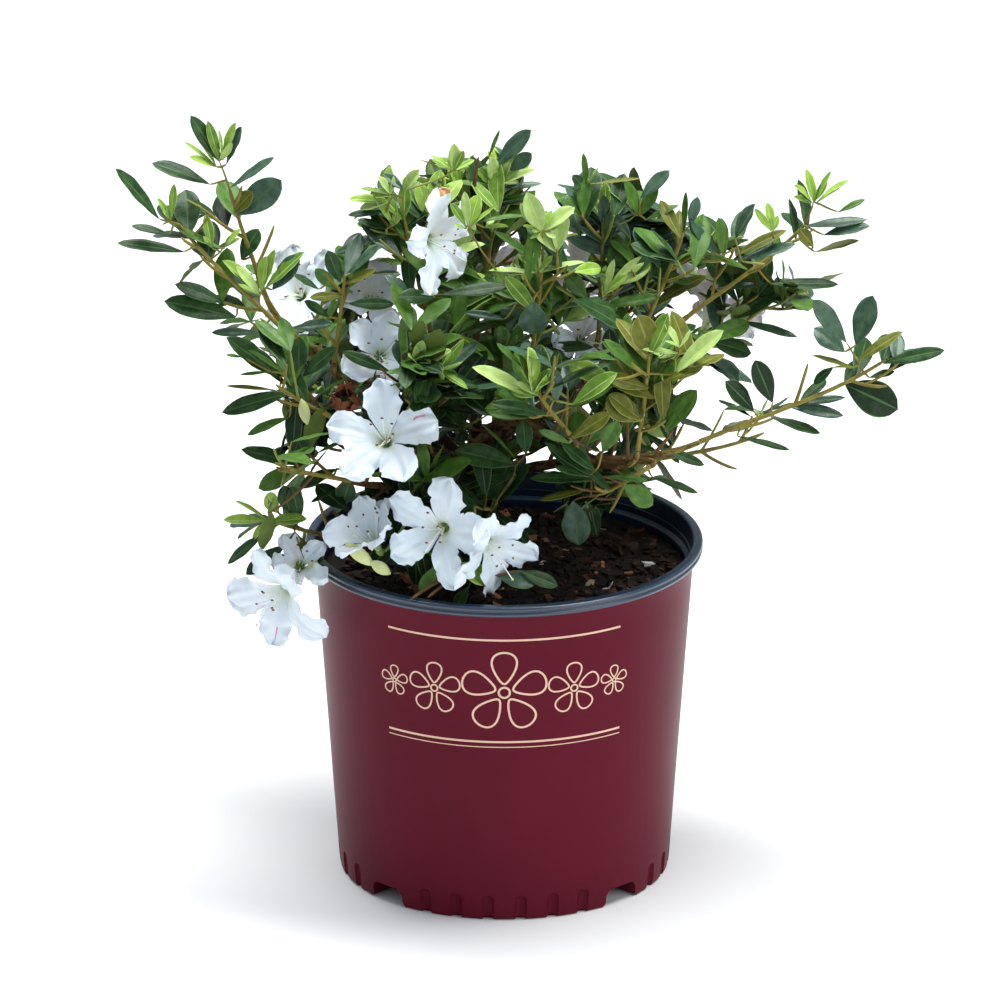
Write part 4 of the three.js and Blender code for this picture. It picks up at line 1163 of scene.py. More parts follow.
class Sheaf:
    """Many pieces of mesh that are joined into one object."""

    def __init__(self):
        self.points = []
        self.faces = []
        self.looks = []
        self.total = 0

    def add(self, points, faces, look):
        faces = np.asarray(faces)
        self.points.append(np.asarray(points, float).reshape(-1, 3))
        self.faces.append(faces + self.total)
        self.looks.append(np.broadcast_to(look, len(faces)))
        self.total += len(self.points[-1])

    def add_more(self, faces, look=0):
        """More faces on the points that were added last."""
        faces = np.asarray(faces)
        self.faces.append(faces + self.total - len(self.points[-1]))
        self.looks.append(np.broadcast_to(look, len(faces)))

    def build(self, name, looks, sharp=50):
        """Makes the object, where edges with a turn above so many degrees stay sharp."""
        points = np.concatenate(self.points) * MM
        sizes = np.concatenate([np.full(len(faces), faces.shape[1]) for faces in self.faces])
        corners = np.concatenate([faces.ravel() for faces in self.faces])
        mesh = bpy.data.meshes.new(name)
        mesh.vertices.add(len(points))
        mesh.vertices.foreach_set("co", points.ravel())
        mesh.loops.add(len(corners))
        mesh.loops.foreach_set("vertex_index", corners.astype(np.int32))
        mesh.polygons.add(len(sizes))
        mesh.polygons.foreach_set("loop_start", (np.cumsum(sizes) - sizes).astype(np.int32))
        mesh.polygons.foreach_set("material_index", np.concatenate(self.looks).astype(np.int32))
        mesh.update(calc_edges=True)
        mesh.validate()
        for look in looks:
            mesh.materials.append(MATERIALS[look])
        mesh.shade_smooth()
        mesh.set_sharp_from_angle(angle=math.radians(sharp))
        piece = bpy.data.objects.new(name, mesh)
        bpy.context.scene.collection.objects.link(piece)
        return piece


def tube_faces(rings, sides):
    """Quads between rings, and the two ends."""
    i, k = np.meshgrid(np.arange(rings - 1), np.arange(sides), indexing="ij")
    after = (k + 1) % sides
    walls = np.stack([i * sides + k, i * sides + after, (i + 1) * sides + after, (i + 1) * sides + k], -1)
    ends = np.array([np.arange(sides)[::-1], (rings - 1) * sides + np.arange(sides)])
    return walls.reshape(-1, 4), ends


def tube_rings(points, radii, sides):
    """Rings round a path: radii are one for each ring, or one for each point of each ring."""
    ways = np.gradient(points, axis=0)
    ways /= np.linalg.norm(ways, axis=1)[:, None]
    normal = unit(np.cross(ways[0], [0.31, 0.83, 0.46]))
    turns = 2 * np.pi * np.arange(sides) / sides
    radii = np.broadcast_to(np.asarray(radii, float).reshape(len(points), -1), (len(points), sides))
    rings = []
    for point, way, row in zip(points, ways, radii):
        normal = squared(normal, way)
        across = np.cross(way, normal)
        spokes = np.outer(np.cos(turns), normal) + np.outer(np.sin(turns), across)
        rings.append(point + spokes * row[:, None])
    return np.array(rings)


def add_tube(sheaf, points, radii, sides, look):
    """A tube with closed ends; the look is one number, or one for each face of the wall."""
    rings = tube_rings(points, radii, sides)
    walls, ends = tube_faces(len(points), sides)
    sheaf.add(rings, walls, look)
    sheaf.add_more(ends, np.ravel(look)[0])


# Materials

MATERIALS = {}


# Where a surface's drift starts and ends, how deep its relief and its glow are in metres, and
# how rough a coat is
DRIFT_SPAN = (0.35, 0.7)
RELIEF_DEPTH = 0.0004
GLOW_DEPTH = 0.002
COAT_ROUGHNESS = 0.3


def add_noise(tree, vector, scale, detail):
    noise = tree.nodes.new("ShaderNodeTexNoise")
    noise.inputs["Scale"].default_value = scale
    noise.inputs["Detail"].default_value = detail
    tree.links.new(vector, noise.inputs["Vector"])
    return noise.outputs["Fac"]


def add_material(name, color, tint, roughness, scale=60, spread=0.08, bump=0.2, grain=400,
                 specular=0.5, coat=0, subsurface=0):
    """A surface that drifts between two colours, with uneven gloss and a fine relief."""
    material = bpy.data.materials.new(name)
    material.use_nodes = True
    tree = material.node_tree
    shader = tree.nodes["Principled BSDF"]
    place = tree.nodes.new("ShaderNodeTexCoord").outputs["Object"]

    ramp = tree.nodes.new("ShaderNodeValToRGB")
    for element, position, shade in zip(ramp.color_ramp.elements, DRIFT_SPAN, (color, tint)):
        element.position = position
        element.color = (*shade, 1)
    tree.links.new(add_noise(tree, place, scale, 4), ramp.inputs["Fac"])
    tree.links.new(ramp.outputs["Color"], shader.inputs["Base Color"])

    fine = add_noise(tree, place, grain, 3)
    gloss = tree.nodes.new("ShaderNodeMapRange")
    gloss.inputs["To Min"].default_value = roughness - spread
    gloss.inputs["To Max"].default_value = roughness + spread
    tree.links.new(fine, gloss.inputs["Value"])
    tree.links.new(gloss.outputs["Result"], shader.inputs["Roughness"])
    relief = tree.nodes.new("ShaderNodeBump")
    relief.inputs["Strength"].default_value = bump
    relief.inputs["Distance"].default_value = RELIEF_DEPTH
    tree.links.new(fine, relief.inputs["Height"])
    tree.links.new(relief.outputs["Normal"], shader.inputs["Normal"])

    for value_name, value in (
        ("Specular IOR Level", specular), ("Coat Weight", coat), ("Coat Roughness", COAT_ROUGHNESS),
        ("Subsurface Weight", subsurface), ("Subsurface Scale", GLOW_DEPTH),
    ):
        shader.inputs[value_name].default_value = value
    MATERIALS[name] = material


# What the surfaces of a kind share
LEAF = dict(scale=170, grain=900, bump=0.4, specular=0.22)
GLOSSY = dict(LEAF, specular=0.42, coat=0.06)
VEIN = dict(specular=0.3)
BARK = dict(scale=120, grain=500, specular=0.3)
PETAL_SKIN = dict(scale=70, grain=260, bump=0.25, specular=0.35, subsurface=0.15)
POT_SKIN = dict(scale=20, grain=1500, bump=0.06)
SOIL = dict(scale=150, grain=700, bump=0.9, specular=0.3)

# Surfaces: name, the two colours that each drifts between, roughness, and the rest
SURFACES = [
    ("leaf_deep", (0.007, 0.022, 0.006), (0.014, 0.038, 0.010), 0.4, LEAF),
    ("leaf_dark", (0.012, 0.042, 0.010), (0.034, 0.088, 0.020), 0.36, LEAF),
    ("leaf_green", (0.045, 0.120, 0.012), (0.092, 0.195, 0.026), 0.38, LEAF),
    # The bluish grey of this tone is painted sky sheen, on top of the leaf's real gloss
    ("leaf_blue_painted_sheen", (0.024, 0.064, 0.036), (0.060, 0.126, 0.078), 0.34, GLOSSY),
    # The golden-olive tone stands partly for leaves that show their undersides and partly for painted
    # glow of backlit leaves
    ("leaf_olive", (0.085, 0.105, 0.009), (0.155, 0.165, 0.018), 0.45, LEAF),
    ("leaf_lime", (0.220, 0.380, 0.040), (0.330, 0.500, 0.085), 0.45, LEAF),
    ("leaf_pale", (0.330, 0.490, 0.120), (0.470, 0.610, 0.210), 0.48, LEAF),
    ("leaf_spring", (0.110, 0.230, 0.022), (0.200, 0.340, 0.045), 0.45, LEAF),
    # Midribs and margins; the paler margin line is partly the leaf's own edge and partly a painted rim
    # highlight
    ("rib_and_edge_highlight_dark", (0.040, 0.095, 0.030), (0.070, 0.140, 0.048), 0.5, VEIN),
    ("rib_and_edge_highlight_olive", (0.200, 0.205, 0.045), (0.270, 0.270, 0.070), 0.5, VEIN),
    ("rib_and_edge_highlight_young", (0.380, 0.520, 0.180), (0.480, 0.600, 0.240), 0.5, VEIN),
    # Undersides: partly their own paler colour, partly painted glow of light shining through the leaf
    ("under_glow_dark", (0.070, 0.110, 0.018), (0.110, 0.155, 0.028), 0.6, VEIN),
    ("under_glow_olive", (0.100, 0.105, 0.014), (0.155, 0.150, 0.022), 0.6, VEIN),
    ("under_glow_young", (0.190, 0.320, 0.060), (0.280, 0.420, 0.095), 0.55, VEIN),
    ("bark_old", (0.030, 0.014, 0.007), (0.075, 0.034, 0.016), 0.8, dict(BARK, bump=0.8)),
    ("bark_brown", (0.095, 0.050, 0.018), (0.160, 0.090, 0.030), 0.8, dict(BARK, bump=0.7)),
    ("bark_gold", (0.180, 0.145, 0.026), (0.260, 0.215, 0.045), 0.8, dict(BARK, bump=0.5)),
    ("bark_green", (0.190, 0.210, 0.045), (0.270, 0.290, 0.070), 0.8, dict(BARK, bump=0.4)),
    # The petals are white; their blue-grey tint is painted bluish shade
    ("petal", (0.72, 0.80, 0.89), (0.81, 0.87, 0.92), 0.55, PETAL_SKIN),
    ("petal_throat", (0.50, 0.60, 0.30), (0.70, 0.76, 0.48), 0.55, PETAL_SKIN),
    ("petal_cream", (0.70, 0.77, 0.72), (0.78, 0.84, 0.82), 0.55, PETAL_SKIN),
    ("petal_pink", (0.60, 0.10, 0.30), (0.80, 0.42, 0.60), 0.55, PETAL_SKIN),
    ("petal_brown", (0.42, 0.18, 0.05), (0.70, 0.42, 0.20), 0.7, PETAL_SKIN),
    ("petal_rust", (0.16, 0.035, 0.014), (0.30, 0.09, 0.03), 0.8, dict()),
    ("filament", (0.80, 0.84, 0.78), (0.86, 0.88, 0.80), 0.5, dict()),
    ("anther", (0.10, 0.04, 0.02), (0.20, 0.09, 0.04), 0.7, dict()),
    ("bud", (0.50, 0.56, 0.22), (0.66, 0.70, 0.36), 0.5, dict()),
    ("calyx", (0.16, 0.28, 0.05), (0.24, 0.38, 0.08), 0.55, dict()),
    ("pot_red", (0.098, 0.0055, 0.016), (0.112, 0.0075, 0.020), 0.4,
     dict(scale=9, spread=0.03, bump=0.06, grain=1800, specular=0.07)),
    ("pot_navy", (0.009, 0.018, 0.048), (0.014, 0.026, 0.064), 0.3,
     dict(POT_SKIN, spread=0.05, specular=0.6)),
    ("pot_rim", (0.013, 0.028, 0.058), (0.020, 0.040, 0.078), 0.24,
     dict(POT_SKIN, spread=0.06, specular=0.8)),
    # The paler navy of the ledge tops is a painted highlight
    ("pot_ledge_painted_highlight", (0.040, 0.075, 0.130), (0.055, 0.095, 0.155), 0.3,
     dict(POT_SKIN, spread=0.05, specular=0.7)),
    ("print_cream", (0.72, 0.47, 0.33), (0.76, 0.52, 0.37), 0.45, dict(scale=30, bump=0.05)),
    ("mix_dark", (0.008, 0.005, 0.004), (0.018, 0.010, 0.007), 0.85, dict(SOIL, scale=200)),
    ("chip_brown", (0.024, 0.012, 0.008), (0.050, 0.024, 0.014), 0.85, SOIL),
    ("chip_red", (0.080, 0.032, 0.016), (0.150, 0.060, 0.028), 0.85, SOIL),
    ("chip_orange", (0.300, 0.125, 0.055), (0.400, 0.190, 0.090), 0.85, SOIL),
    ("chip_pale", (0.420, 0.300, 0.200), (0.520, 0.400, 0.280), 0.85, SOIL),
    ("perlite", (0.75, 0.75, 0.72), (0.85, 0.85, 0.82), 0.85, SOIL),
    ("floor", (0.84, 0.84, 0.84), (0.86, 0.86, 0.86), 0.9, dict(scale=2, bump=0, specular=0.1)),
]


# Pieces

def keep(piece, slot, *nodes):
    """The piece rides on the root body and stands for the nodes; the slot is not used."""
    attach(piece, "root")
    if nodes:
        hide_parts(*nodes)


BARK_LOOKS = ["bark_old", "bark_brown", "bark_gold", "bark_green"]
OLD_BARK, BROWN_BARK, GOLD_BARK, GREEN_BARK = range(4)
LIMB_TAPER = 0.6
TAPER_POWER = 0.45
BARK_STEP = 3.0
BARK_SIDES = 14


# How far from the fork old and brown bark reach, how uneven their borders are, and how often
# a face is brown for all that
OLD_REACH = 75
BROWN_REACH = 150
AGE_NOISE = 16
BROWN_SHARE = 0.2

# Relief of the bark: ridges along a limb (how high, how many round it, how they drift), knots,
# grain, the ribs of the root flare, and its limits
TRUNK_SIDES = 28
COLLAR = 0.35
COLLAR_REACH = 9
RIDGES = (0.05, 3, 2)
FINE_RIDGES = (0.035, 5, 14)
KNOTS = (0.06, 8, 6)
BARK_GRAIN = 0.035
ROOT_RIBS = (0.16, 4, 0.6)
RELIEF_LIMITS = (0.8, 1.2)


def bark_ages(path, rng, sides):
    """Bark is old and dark near the fork and golden further out, with an uneven border."""
    reach = np.linalg.norm(path - FORK, axis=1)[:-1, None]
    reach = reach + rng.normal(0, AGE_NOISE, (len(path) - 1, sides))
    ages = np.where(reach < OLD_REACH, OLD_BARK, np.where(reach < BROWN_REACH, BROWN_BARK, GOLD_BARK))
    return np.where(rng.random(ages.shape) < BROWN_SHARE, BROWN_BARK, ages).ravel()


def bark_relief(share, length, sides, is_trunk, rng):
    """How far each point of each ring stands out, as a share of the radius."""
    turns = 2 * np.pi * np.arange(sides) / sides
    phase = rng.uniform(0, 6.28, 5)
    high, count, drift = RIDGES
    ridges = high * np.sin(count * turns + phase[0] + share[:, None] * drift)
    high, count, drift = FINE_RIDGES
    ridges = ridges + high * np.sin(count * turns + phase[1] - share[:, None] * length / drift)
    high, spacing, power = KNOTS
    knots = high * np.sin(share * length / spacing + phase[2])[:, None] ** power
    rough = BARK_GRAIN * rng.normal(size=(len(share), sides))
    if is_trunk:
        high, count, start = ROOT_RIBS
        roots = np.clip(1 - share / FLARE_SHARE, 0, 1)[:, None] ** 2
        ridges = ridges + high * roots * np.sin(count * turns + start)
    return np.clip(1 + ridges + knots + rough, *RELIEF_LIMITS)


def make_limbs():
    sheaf = Sheaf()
    rng = np.random.default_rng(11)
    for limb in LIMBS.values():
        length = limb.curve.length()
        steps = max(12, int(length / BARK_STEP))
        path = limb.curve.path(steps)
        share = np.linspace(0, 1, steps + 1)
        is_trunk = limb.name == "trunk"
        if is_trunk:
            sides = TRUNK_SIDES
            radii = np.array([trunk_radius(t) for t in share])
        else:
            sides = BARK_SIDES
            collar = 1 + COLLAR * np.exp(-share * length / COLLAR_REACH)
            radii = mix(limb.radii[0], limb.radii[1] * LIMB_TAPER, share ** TAPER_POWER) * collar
        relief = bark_relief(share, length, sides, is_trunk, rng)
        add_tube(sheaf, path, radii[:, None] * relief, sides, bark_ages(path, rng, sides))
    piece = sheaf.build("limbs_bark", BARK_LOOKS, sharp=70)
    nodes = ["trunk"] + [f"bough_{name}" for name in LIMBS if name != "trunk"]
    keep(piece, "bark", *nodes)


# Twigs: how far apart their rings are, how uneven they are, and how many outer ones are golden
TWIG_STEP = 5
TWIG_NOISE = 0.07
GOLD_SHARE = 0.6


def twig_look(shoot, rng):
    """Stems and side shoots are golden, finer twigs brown inside the crown, golden or green
    further out."""
    fine = shoot.order not in (STEM_ORDER, SIDE_ORDER)
    if fine and np.linalg.norm(shoot.curve.point(0) - FORK) < INNER_REACH:
        return BROWN_BARK
    green = fine and rng.random() >= GOLD_SHARE
    if shoot.order == BARE_ORDER:
        return BROWN_BARK
    return GREEN_BARK if green else GOLD_BARK


def make_twigs(shoots):
    sheaf = Sheaf()
    rng = np.random.default_rng(12)
    for shoot in shoots:
        steps = max(TWIG_PIECES, int(shoot.curve.length() / TWIG_STEP))
        sides = 8 if shoot.order == STEM_ORDER else 6
        share = np.linspace(0, 1, steps + 1)
        uneven = 1 + TWIG_NOISE * rng.normal(size=(steps + 1, sides))
        radii = mix(*shoot.radii, share)[:, None] * uneven
        radii[-1] *= 0.5
        add_tube(sheaf, shoot.curve.path(steps), radii, sides, twig_look(shoot, rng))
    keep(sheaf.build("twigs", BARK_LOOKS, sharp=70), "bark")


# The pieces that the leaves are joined into, with the masses that each stands for
LEAF_PIECES = {
    "leaves_left": ("left_top", "left_far", "left_inner", "left_mid", "left_low", "left_base"),
    "leaves_crown": ("crown_left", "crown_top", "crown_mid", "centre_left", "front_left"),
    "leaves_right": ("right_upper", "right_low", "right_top", "right_high", "right_mid", "right_under"),
    "leaves_front": ("front_gold", "front_low", "front_lime", "front_right"),
    "leaves_back": ("back_left", "back_right", "back_centre", "back_low", "back_low_left",
                    "back_low_right"),
}

# A leaf is dropped where a place on it, station and point of the ring, covers a spot on one that
# stands out: it is this much in front of the spot, and this near to it in the picture
LEAF_PLACES = ((3, 3), (5, 1), (5, 6), (7, 1), (7, 6), (9, 3), (11, 3))
SPOT_STATIONS = [5, 9]
COVER_REACH = 6
COVER_DEPTH = 8

# How far leaves may come into the room of a limb, and out of the solids' box
LIMB_GIVE = 1.5
BOX_GIVE = 14


def covers_placed(points, spots):
    """Whether points are in front of spots on the leaves that stand out."""
    covered = np.zeros(len(points), bool)
    for spot in spots:
        offset = points - spot
        depth = offset @ VIEW
        aside = np.hypot(offset[:, 0], offset @ PICTURE_UP)
        covered |= (depth > COVER_DEPTH) & (aside < COVER_REACH)
    return covered


def leaf_room(rows, placed):
    """Which leaves are clear of pot, limbs, blooms and open places, and within the box; those
    that stand out always are."""
    points = leaf_points(rows)
    spots = points[placed][:, SPOT_STATIONS, MIDRIB].reshape(-1, 3)
    keepers = np.ones(len(rows), bool)
    for station, ring in LEAF_PLACES:
        sample = points[:, station, ring]
        keepers &= ~covers_placed(sample, spots)
        keepers &= is_clear_of_pot(sample) & ~sees_bloom(sample) & ~in_open_place(sample)
        keepers &= (LIMB_PATHS.distances(sample) >= LIMB_ROOM - LIMB_GIVE).all(1)
    tips = points[:, -1, MIDRIB]
    low, high = np.array(CAD_BOX) / MM
    keepers &= (tips > low - BOX_GIVE).all(1) & (tips < high + BOX_GIVE).all(1)
    return keepers | placed


def leafy_shoots(shoots, leaves, room):
    """The shoots without the finer twigs and spurs that bear no leaf."""
    bearing = {id(bearer) for bearer, kept in zip(leaves.bearers, room) if kept}
    larger = (STEM_ORDER, SIDE_ORDER)
    return [shoot for shoot in shoots if shoot.order in larger or id(shoot) in bearing]


def make_leaves(leaves, room):
    rows = np.array(leaves.rows)
    shades = np.array(leaves.shades)
    masses = np.array(leaves.masses)
    template, parts = leaf_faces()
    size = LEAF_STATIONS * LEAF_RING
    ends = np.array([np.arange(LEAF_RING)[::-1], size - LEAF_RING + np.arange(LEAF_RING)])
    names = [mass.name for mass in MASSES]
    for piece_name, group in LEAF_PIECES.items():
        chosen = room & np.isin(masses, [names.index(name) for name in group])
        points = leaf_points(rows[chosen])
        shade = shades[chosen]
        kind = np.where(np.isin(shade, YOUNG_TONES), 2, np.where(shade == OLIVE, 1, 0))
        # Midribs, margins and end caps take the rib colour, which on the margins is partly a painted rim
        # highlight
        rib_and_edge = len(LEAF_LOOKS) + kind
        looks = np.stack([shade, rib_and_edge, rib_and_edge + len(RIB_AND_EDGE_LOOKS)], 1)[:, parts]
        base = (np.arange(len(points)) * size)[:, None, None]
        sheaf = Sheaf()
        sheaf.add(points, (template + base).reshape(-1, 4), looks.ravel())
        sheaf.add_more((ends + base).reshape(-1, LEAF_RING), np.repeat(rib_and_edge, 2))
        piece = sheaf.build(piece_name, LEAF_LOOKS + RIB_AND_EDGE_LOOKS + UNDER_GLOW_LOOKS, sharp=60)
        keep(piece, "foliage", *[f"foliage_{name}" for name in group])


# Blooms

PETAL_ROWS = 22
PETAL_COLUMNS = 19
PETAL_THICKNESS = 0.35
TUBE_SHARE = 0.34
PETAL_LENGTH = 55
BLOOM_LOOKS = ["petal", "petal_throat", "petal_cream", "petal_pink", "petal_brown", "petal_rust",
               "filament", "anther", "bud", "calyx"]
PETAL, THROAT, CREAM, PINK, BROWN, RUST, FILAMENT, ANTHER, BUD, CALYX = range(10)

# The shape of a lobe. Pitch in degrees: how far it opens with no bend and with a full one, how
# unevenly, how far its tip curls, its start at the foot of the tube, and how soon it opens
OPEN_ANGLES = (58, 96)
FULL_BEND = 1.4
OPEN_NOISE = (-12, 14)
TIP_CURL = 34
CURL_POWER = 2.5
FOOT_PITCH = 14
OPENING = (3.4, 1.6)
# Outline: where it is wholly free of its neighbours, radius of the foot, overlap in the tube,
# widest half width, where it is widest, how it swells and ends, and how uneven lobes are
FREE_SHARE = 0.2
FOOT_RADIUS = 2.0
FUSED_LAP = 1.02
LOBE_HALF = 15.2
LEAST_HALF = 0.5
SHOULDERS = (0.58, 0.74)
SWELL_FROM = 0.5
TIP_POWERS = (2.3, 0.62)
LENGTH_NOISE = (0.92, 1.06)
WIDTH_NOISE = (0.88, 1.12)
TURN_NOISE = (-7, 7)
TWIST_NOISE = (-0.5, 0.5)
SWAY_NOISE = (-5, 5)
# Relief: waves of the edge (height, waves along, waves across), waves of the tip (height, waves
# across), the groove's depth and width, the veins' height and number, the cup and how it bends
# back, and frills of the outline (share, waves along)
RUFFLES = ((2.2, 8, 1.2), (1.3, 21, 2.5))
TIP_WAVES = ((1.9, 5.5), (0.9, 13))
GROOVE = (1.5, 0.16)
VEINS = (0.2, 19)
CUP = (1.6, 3.4)
FRILLS = ((0.05, 23), (0.04, 37))


def lobe_outline(free, widest, shoulder):
    """Half of the width of a free lobe, which is round at its shoulder and at its tip."""
    swell = mix(SWELL_FROM, 1, np.sin(free / shoulder * np.pi / 2))
    narrowing = np.clip((free - shoulder) / (1 - shoulder), 0, 1) ** TIP_POWERS[0]
    tip = np.clip(1 - narrowing, 0, 1) ** TIP_POWERS[1]
    return np.where(free < shoulder, swell, tip) * widest


def lobe_relief(u, free, loose, phase, bend):
    """How far a lobe stands out from its curve: ruffles, groove, veins and cup."""
    edge = sum(high * np.sin(along * free + across * u + start)
               for (high, along, across), start in zip(RUFFLES, phase[:2]))
    ruffle = loose * np.abs(u) ** 2 * edge
    wave = sum(high * np.sin(across * u + start)
               for (high, across), start in zip(TIP_WAVES, phase[2:]))
    groove = -GROOVE[0] * loose * np.exp(-(u / GROOVE[1]) ** 2) * (1 - free) ** 0.5
    veins = VEINS[0] * loose * np.cos(u * VEINS[1]) * (1 - 0.5 * free)
    cup = loose * (CUP[0] - CUP[1] * free * bend) * u ** 2
    return ruffle + free ** 3 * wave + groove + veins + cup


def bloom_base(bloom):
    """The foot of a bloom's tube."""
    return bloom.centre - bloom.front * BLOOM_DEPTH * bloom.width


def petal_grid(bloom, lobe, rng):
    """One lobe as a grid of points: fused to its neighbours in the tube, free beyond it."""
    v = np.linspace(0, 1, PETAL_ROWS)
    u = np.linspace(-1, 1, PETAL_COLUMNS)[None, :]
    free = np.clip((v - TUBE_SHARE) / (1 - TUBE_SHARE), 0, 1)
    loose = np.clip((v - TUBE_SHARE) / FREE_SHARE, 0, 1)
    open_angle = mix(*OPEN_ANGLES, bloom.bend / FULL_BEND) + rng.uniform(*OPEN_NOISE)
    curl = rng.uniform(0, TIP_CURL) * bloom.bend
    opening = 1 - np.exp(-OPENING[0] * v ** OPENING[1])
    pitch = FOOT_PITCH + (open_angle - FOOT_PITCH) * opening + curl * free ** CURL_POWER
    pitch = np.radians(pitch)
    step = PETAL_LENGTH * bloom.width * rng.uniform(*LENGTH_NOISE) / (PETAL_ROWS - 1)
    out = FOOT_RADIUS + np.concatenate([[0], np.cumsum(np.sin(pitch[1:]) * step)])
    rise = np.concatenate([[0], np.cumsum(np.cos(pitch[1:]) * step)])
    fused = out * math.tan(math.pi / LOBES) * FUSED_LAP
    widest = LOBE_HALF * bloom.width * rng.uniform(*WIDTH_NOISE)
    outline = lobe_outline(free, widest, rng.uniform(*SHOULDERS))
    half = np.minimum(mix(fused, outline, loose), np.maximum(fused, widest))
    half = np.maximum(half, LEAST_HALF)[:, None]
    lobe_turn = 360 * lobe / LOBES + bloom.roll + rng.uniform(*TURN_NOISE)
    radial = leaning(bloom.front, lobe_turn, 90)
    across = np.cross(bloom.front, radial)
    normal = np.cos(pitch)[:, None] * -radial + np.sin(pitch)[:, None] * bloom.front
    phase = rng.uniform(0, 6.28, 4)
    free = free[:, None]
    loose = loose[:, None]
    height = lobe_relief(u, free, loose, phase, bloom.bend)
    twist = (rng.uniform(*TWIST_NOISE) * free ** 1.3) * loose
    (wide, waves), (wide_more, waves_more) = FRILLS
    frill = 1 + wide * loose * np.sin(waves * free + phase[1])
    frill = frill + wide_more * loose * np.sin(waves_more * free + phase[0] + 2 * u)
    side = u * half * frill
    sway = rng.uniform(*SWAY_NOISE) * free ** 2
    fold = (1 - loose) * out[:, None] * (1 - np.cos(u * np.pi / LOBES))
    arc_side = np.sin(u * np.pi / LOBES) * out[:, None]
    flat_side = side * np.cos(twist) - height * np.sin(twist) + sway
    flat_height = side * np.sin(twist) + height * np.cos(twist)
    spine = bloom_base(bloom) + out[:, None] * radial + rise[:, None] * bloom.front
    return (spine[:, None, :]
            + across * mix(arc_side, flat_side, loose)[..., None]
            - radial * fold[..., None]
            + normal[:, None, :] * (loose * flat_height)[..., None])


def add_petal(sheaf, grid, looks):
    """A thin closed shell round a grid of points."""
    rows, columns = grid.shape[:2]
    du = np.gradient(grid, axis=1)
    dv = np.gradient(grid, axis=0)
    normal = np.cross(du, dv)
    normal /= np.linalg.norm(normal, axis=2)[..., None] + 1e-9
    lower = grid - normal * PETAL_THICKNESS
    count = rows * columns
    i, k = np.meshgrid(np.arange(rows - 1), np.arange(columns - 1), indexing="ij")
    corner = i * columns + k
    top = np.stack([corner, corner + 1, corner + columns + 1, corner + columns], -1).reshape(-1, 4)
    edge = np.concatenate([
        np.arange(columns),
        np.arange(1, rows) * columns + columns - 1,
        (rows - 1) * columns + np.arange(columns - 2, -1, -1),
        np.arange(rows - 2, 0, -1) * columns,
    ])
    after = np.roll(edge, -1)
    rim = np.stack([edge, edge + count, after + count, after], -1)
    faces = np.concatenate([top, top[:, ::-1] + count, rim])
    kinds = np.concatenate([looks, looks, np.full(len(rim), looks[-1])])
    sheaf.add(np.concatenate([grid.reshape(-1, 3), lower.reshape(-1, 3)]), faces, kinds)


# How far up a lobe throat and cream reach, how uneven their borders are, how far up a streak
# starts, how long it is, and where a brown tip starts and how many columns it takes
THROAT_TOP = 0.17
CREAM_TOP = 0.42
BORDER_NOISE = 0.07
STREAK_START = (0.42, 0.7)
STREAK_LENGTH = (0.15, 0.32)
BROWN_FROM = 0.84
BROWN_COLUMNS = 8


def petal_looks(rng, streaked, browned, withered):
    """The throat is greenish, the rest white, and some lobes carry a pink streak."""
    rows = np.repeat((np.arange(PETAL_ROWS - 1) + 0.5) / (PETAL_ROWS - 1), PETAL_COLUMNS - 1)
    columns = np.tile(np.arange(PETAL_COLUMNS - 1), PETAL_ROWS - 1)
    uneven = rng.uniform(-BORDER_NOISE, BORDER_NOISE, PETAL_COLUMNS - 1)[columns]
    middle = np.abs(columns - (PETAL_COLUMNS - 2) / 2) / PETAL_COLUMNS
    looks = np.where(rows < CREAM_TOP - 0.35 * middle + uneven, CREAM, PETAL)
    looks[rows < THROAT_TOP + 0.5 * uneven] = THROAT
    if withered:
        looks[:] = RUST
    if streaked:
        column = int(rng.integers(3, PETAL_COLUMNS - 4))
        low = rng.uniform(*STREAK_START)
        high = low + rng.uniform(*STREAK_LENGTH)
        looks[(columns == column) & (rows > low) & (rows < high)] = PINK
    if browned:
        looks[(rows > BROWN_FROM) & (columns < BROWN_COLUMNS)] = BROWN
    return looks


def add_blob(sheaf, centre, way, size, look, sides=7, rings=6):
    """A small closed body of a length and a radius that tapers to both ends."""
    length, radius = size
    share = np.linspace(0, 1, rings + 1)
    radii = radius * np.maximum(np.sin(np.pi * share) ** 0.7, 0.08)
    path = centre + np.outer((share - 0.5) * length, way)
    add_tube(sheaf, path, radii, sides, look)


# Buds, from base to tip: right of the fork, above it in the picture and behind it, and radius
BUDS = [
    ((-66, -36, -104), (-86, -20, -100), 5.0),
    ((-54, -42, -108), (-68, -33, -106), 4.5),
    ((-112, 62, -68), (-116, 80, -70), 4.0),
    ((-112, -44, -66), (-106, -32, -70), 4.0),
]

# Small parts of a bloom, with length and radius: its calyx and sepals, which stand at an angle,
# its stamens, which spread by an angle and end in anthers, and its style
CALYX_SIZE = (9, 3.0)
CALYX_BACK = 1.5
SEPAL_SIZE = (9, 1.3)
SEPAL_ANGLE = 28
SEPAL_OUT = 3.5
STAMENS = 6
STAMEN_SPREAD = (12, 26)
STAMEN_LENGTHS = (26, 34)
STAMEN_RADII = (0.42, 0.3)
STAMEN_LIFT = 2
ANTHER_SIZE = (2.6, 0.75)
STYLE_LENGTH = 34
STYLE_DROOP = 12
STYLE_RADII = (0.55, 0.45)
STIGMA_SIZE = (2.0, 0.95)
STALK_ENDS = (1.25, 1.0)


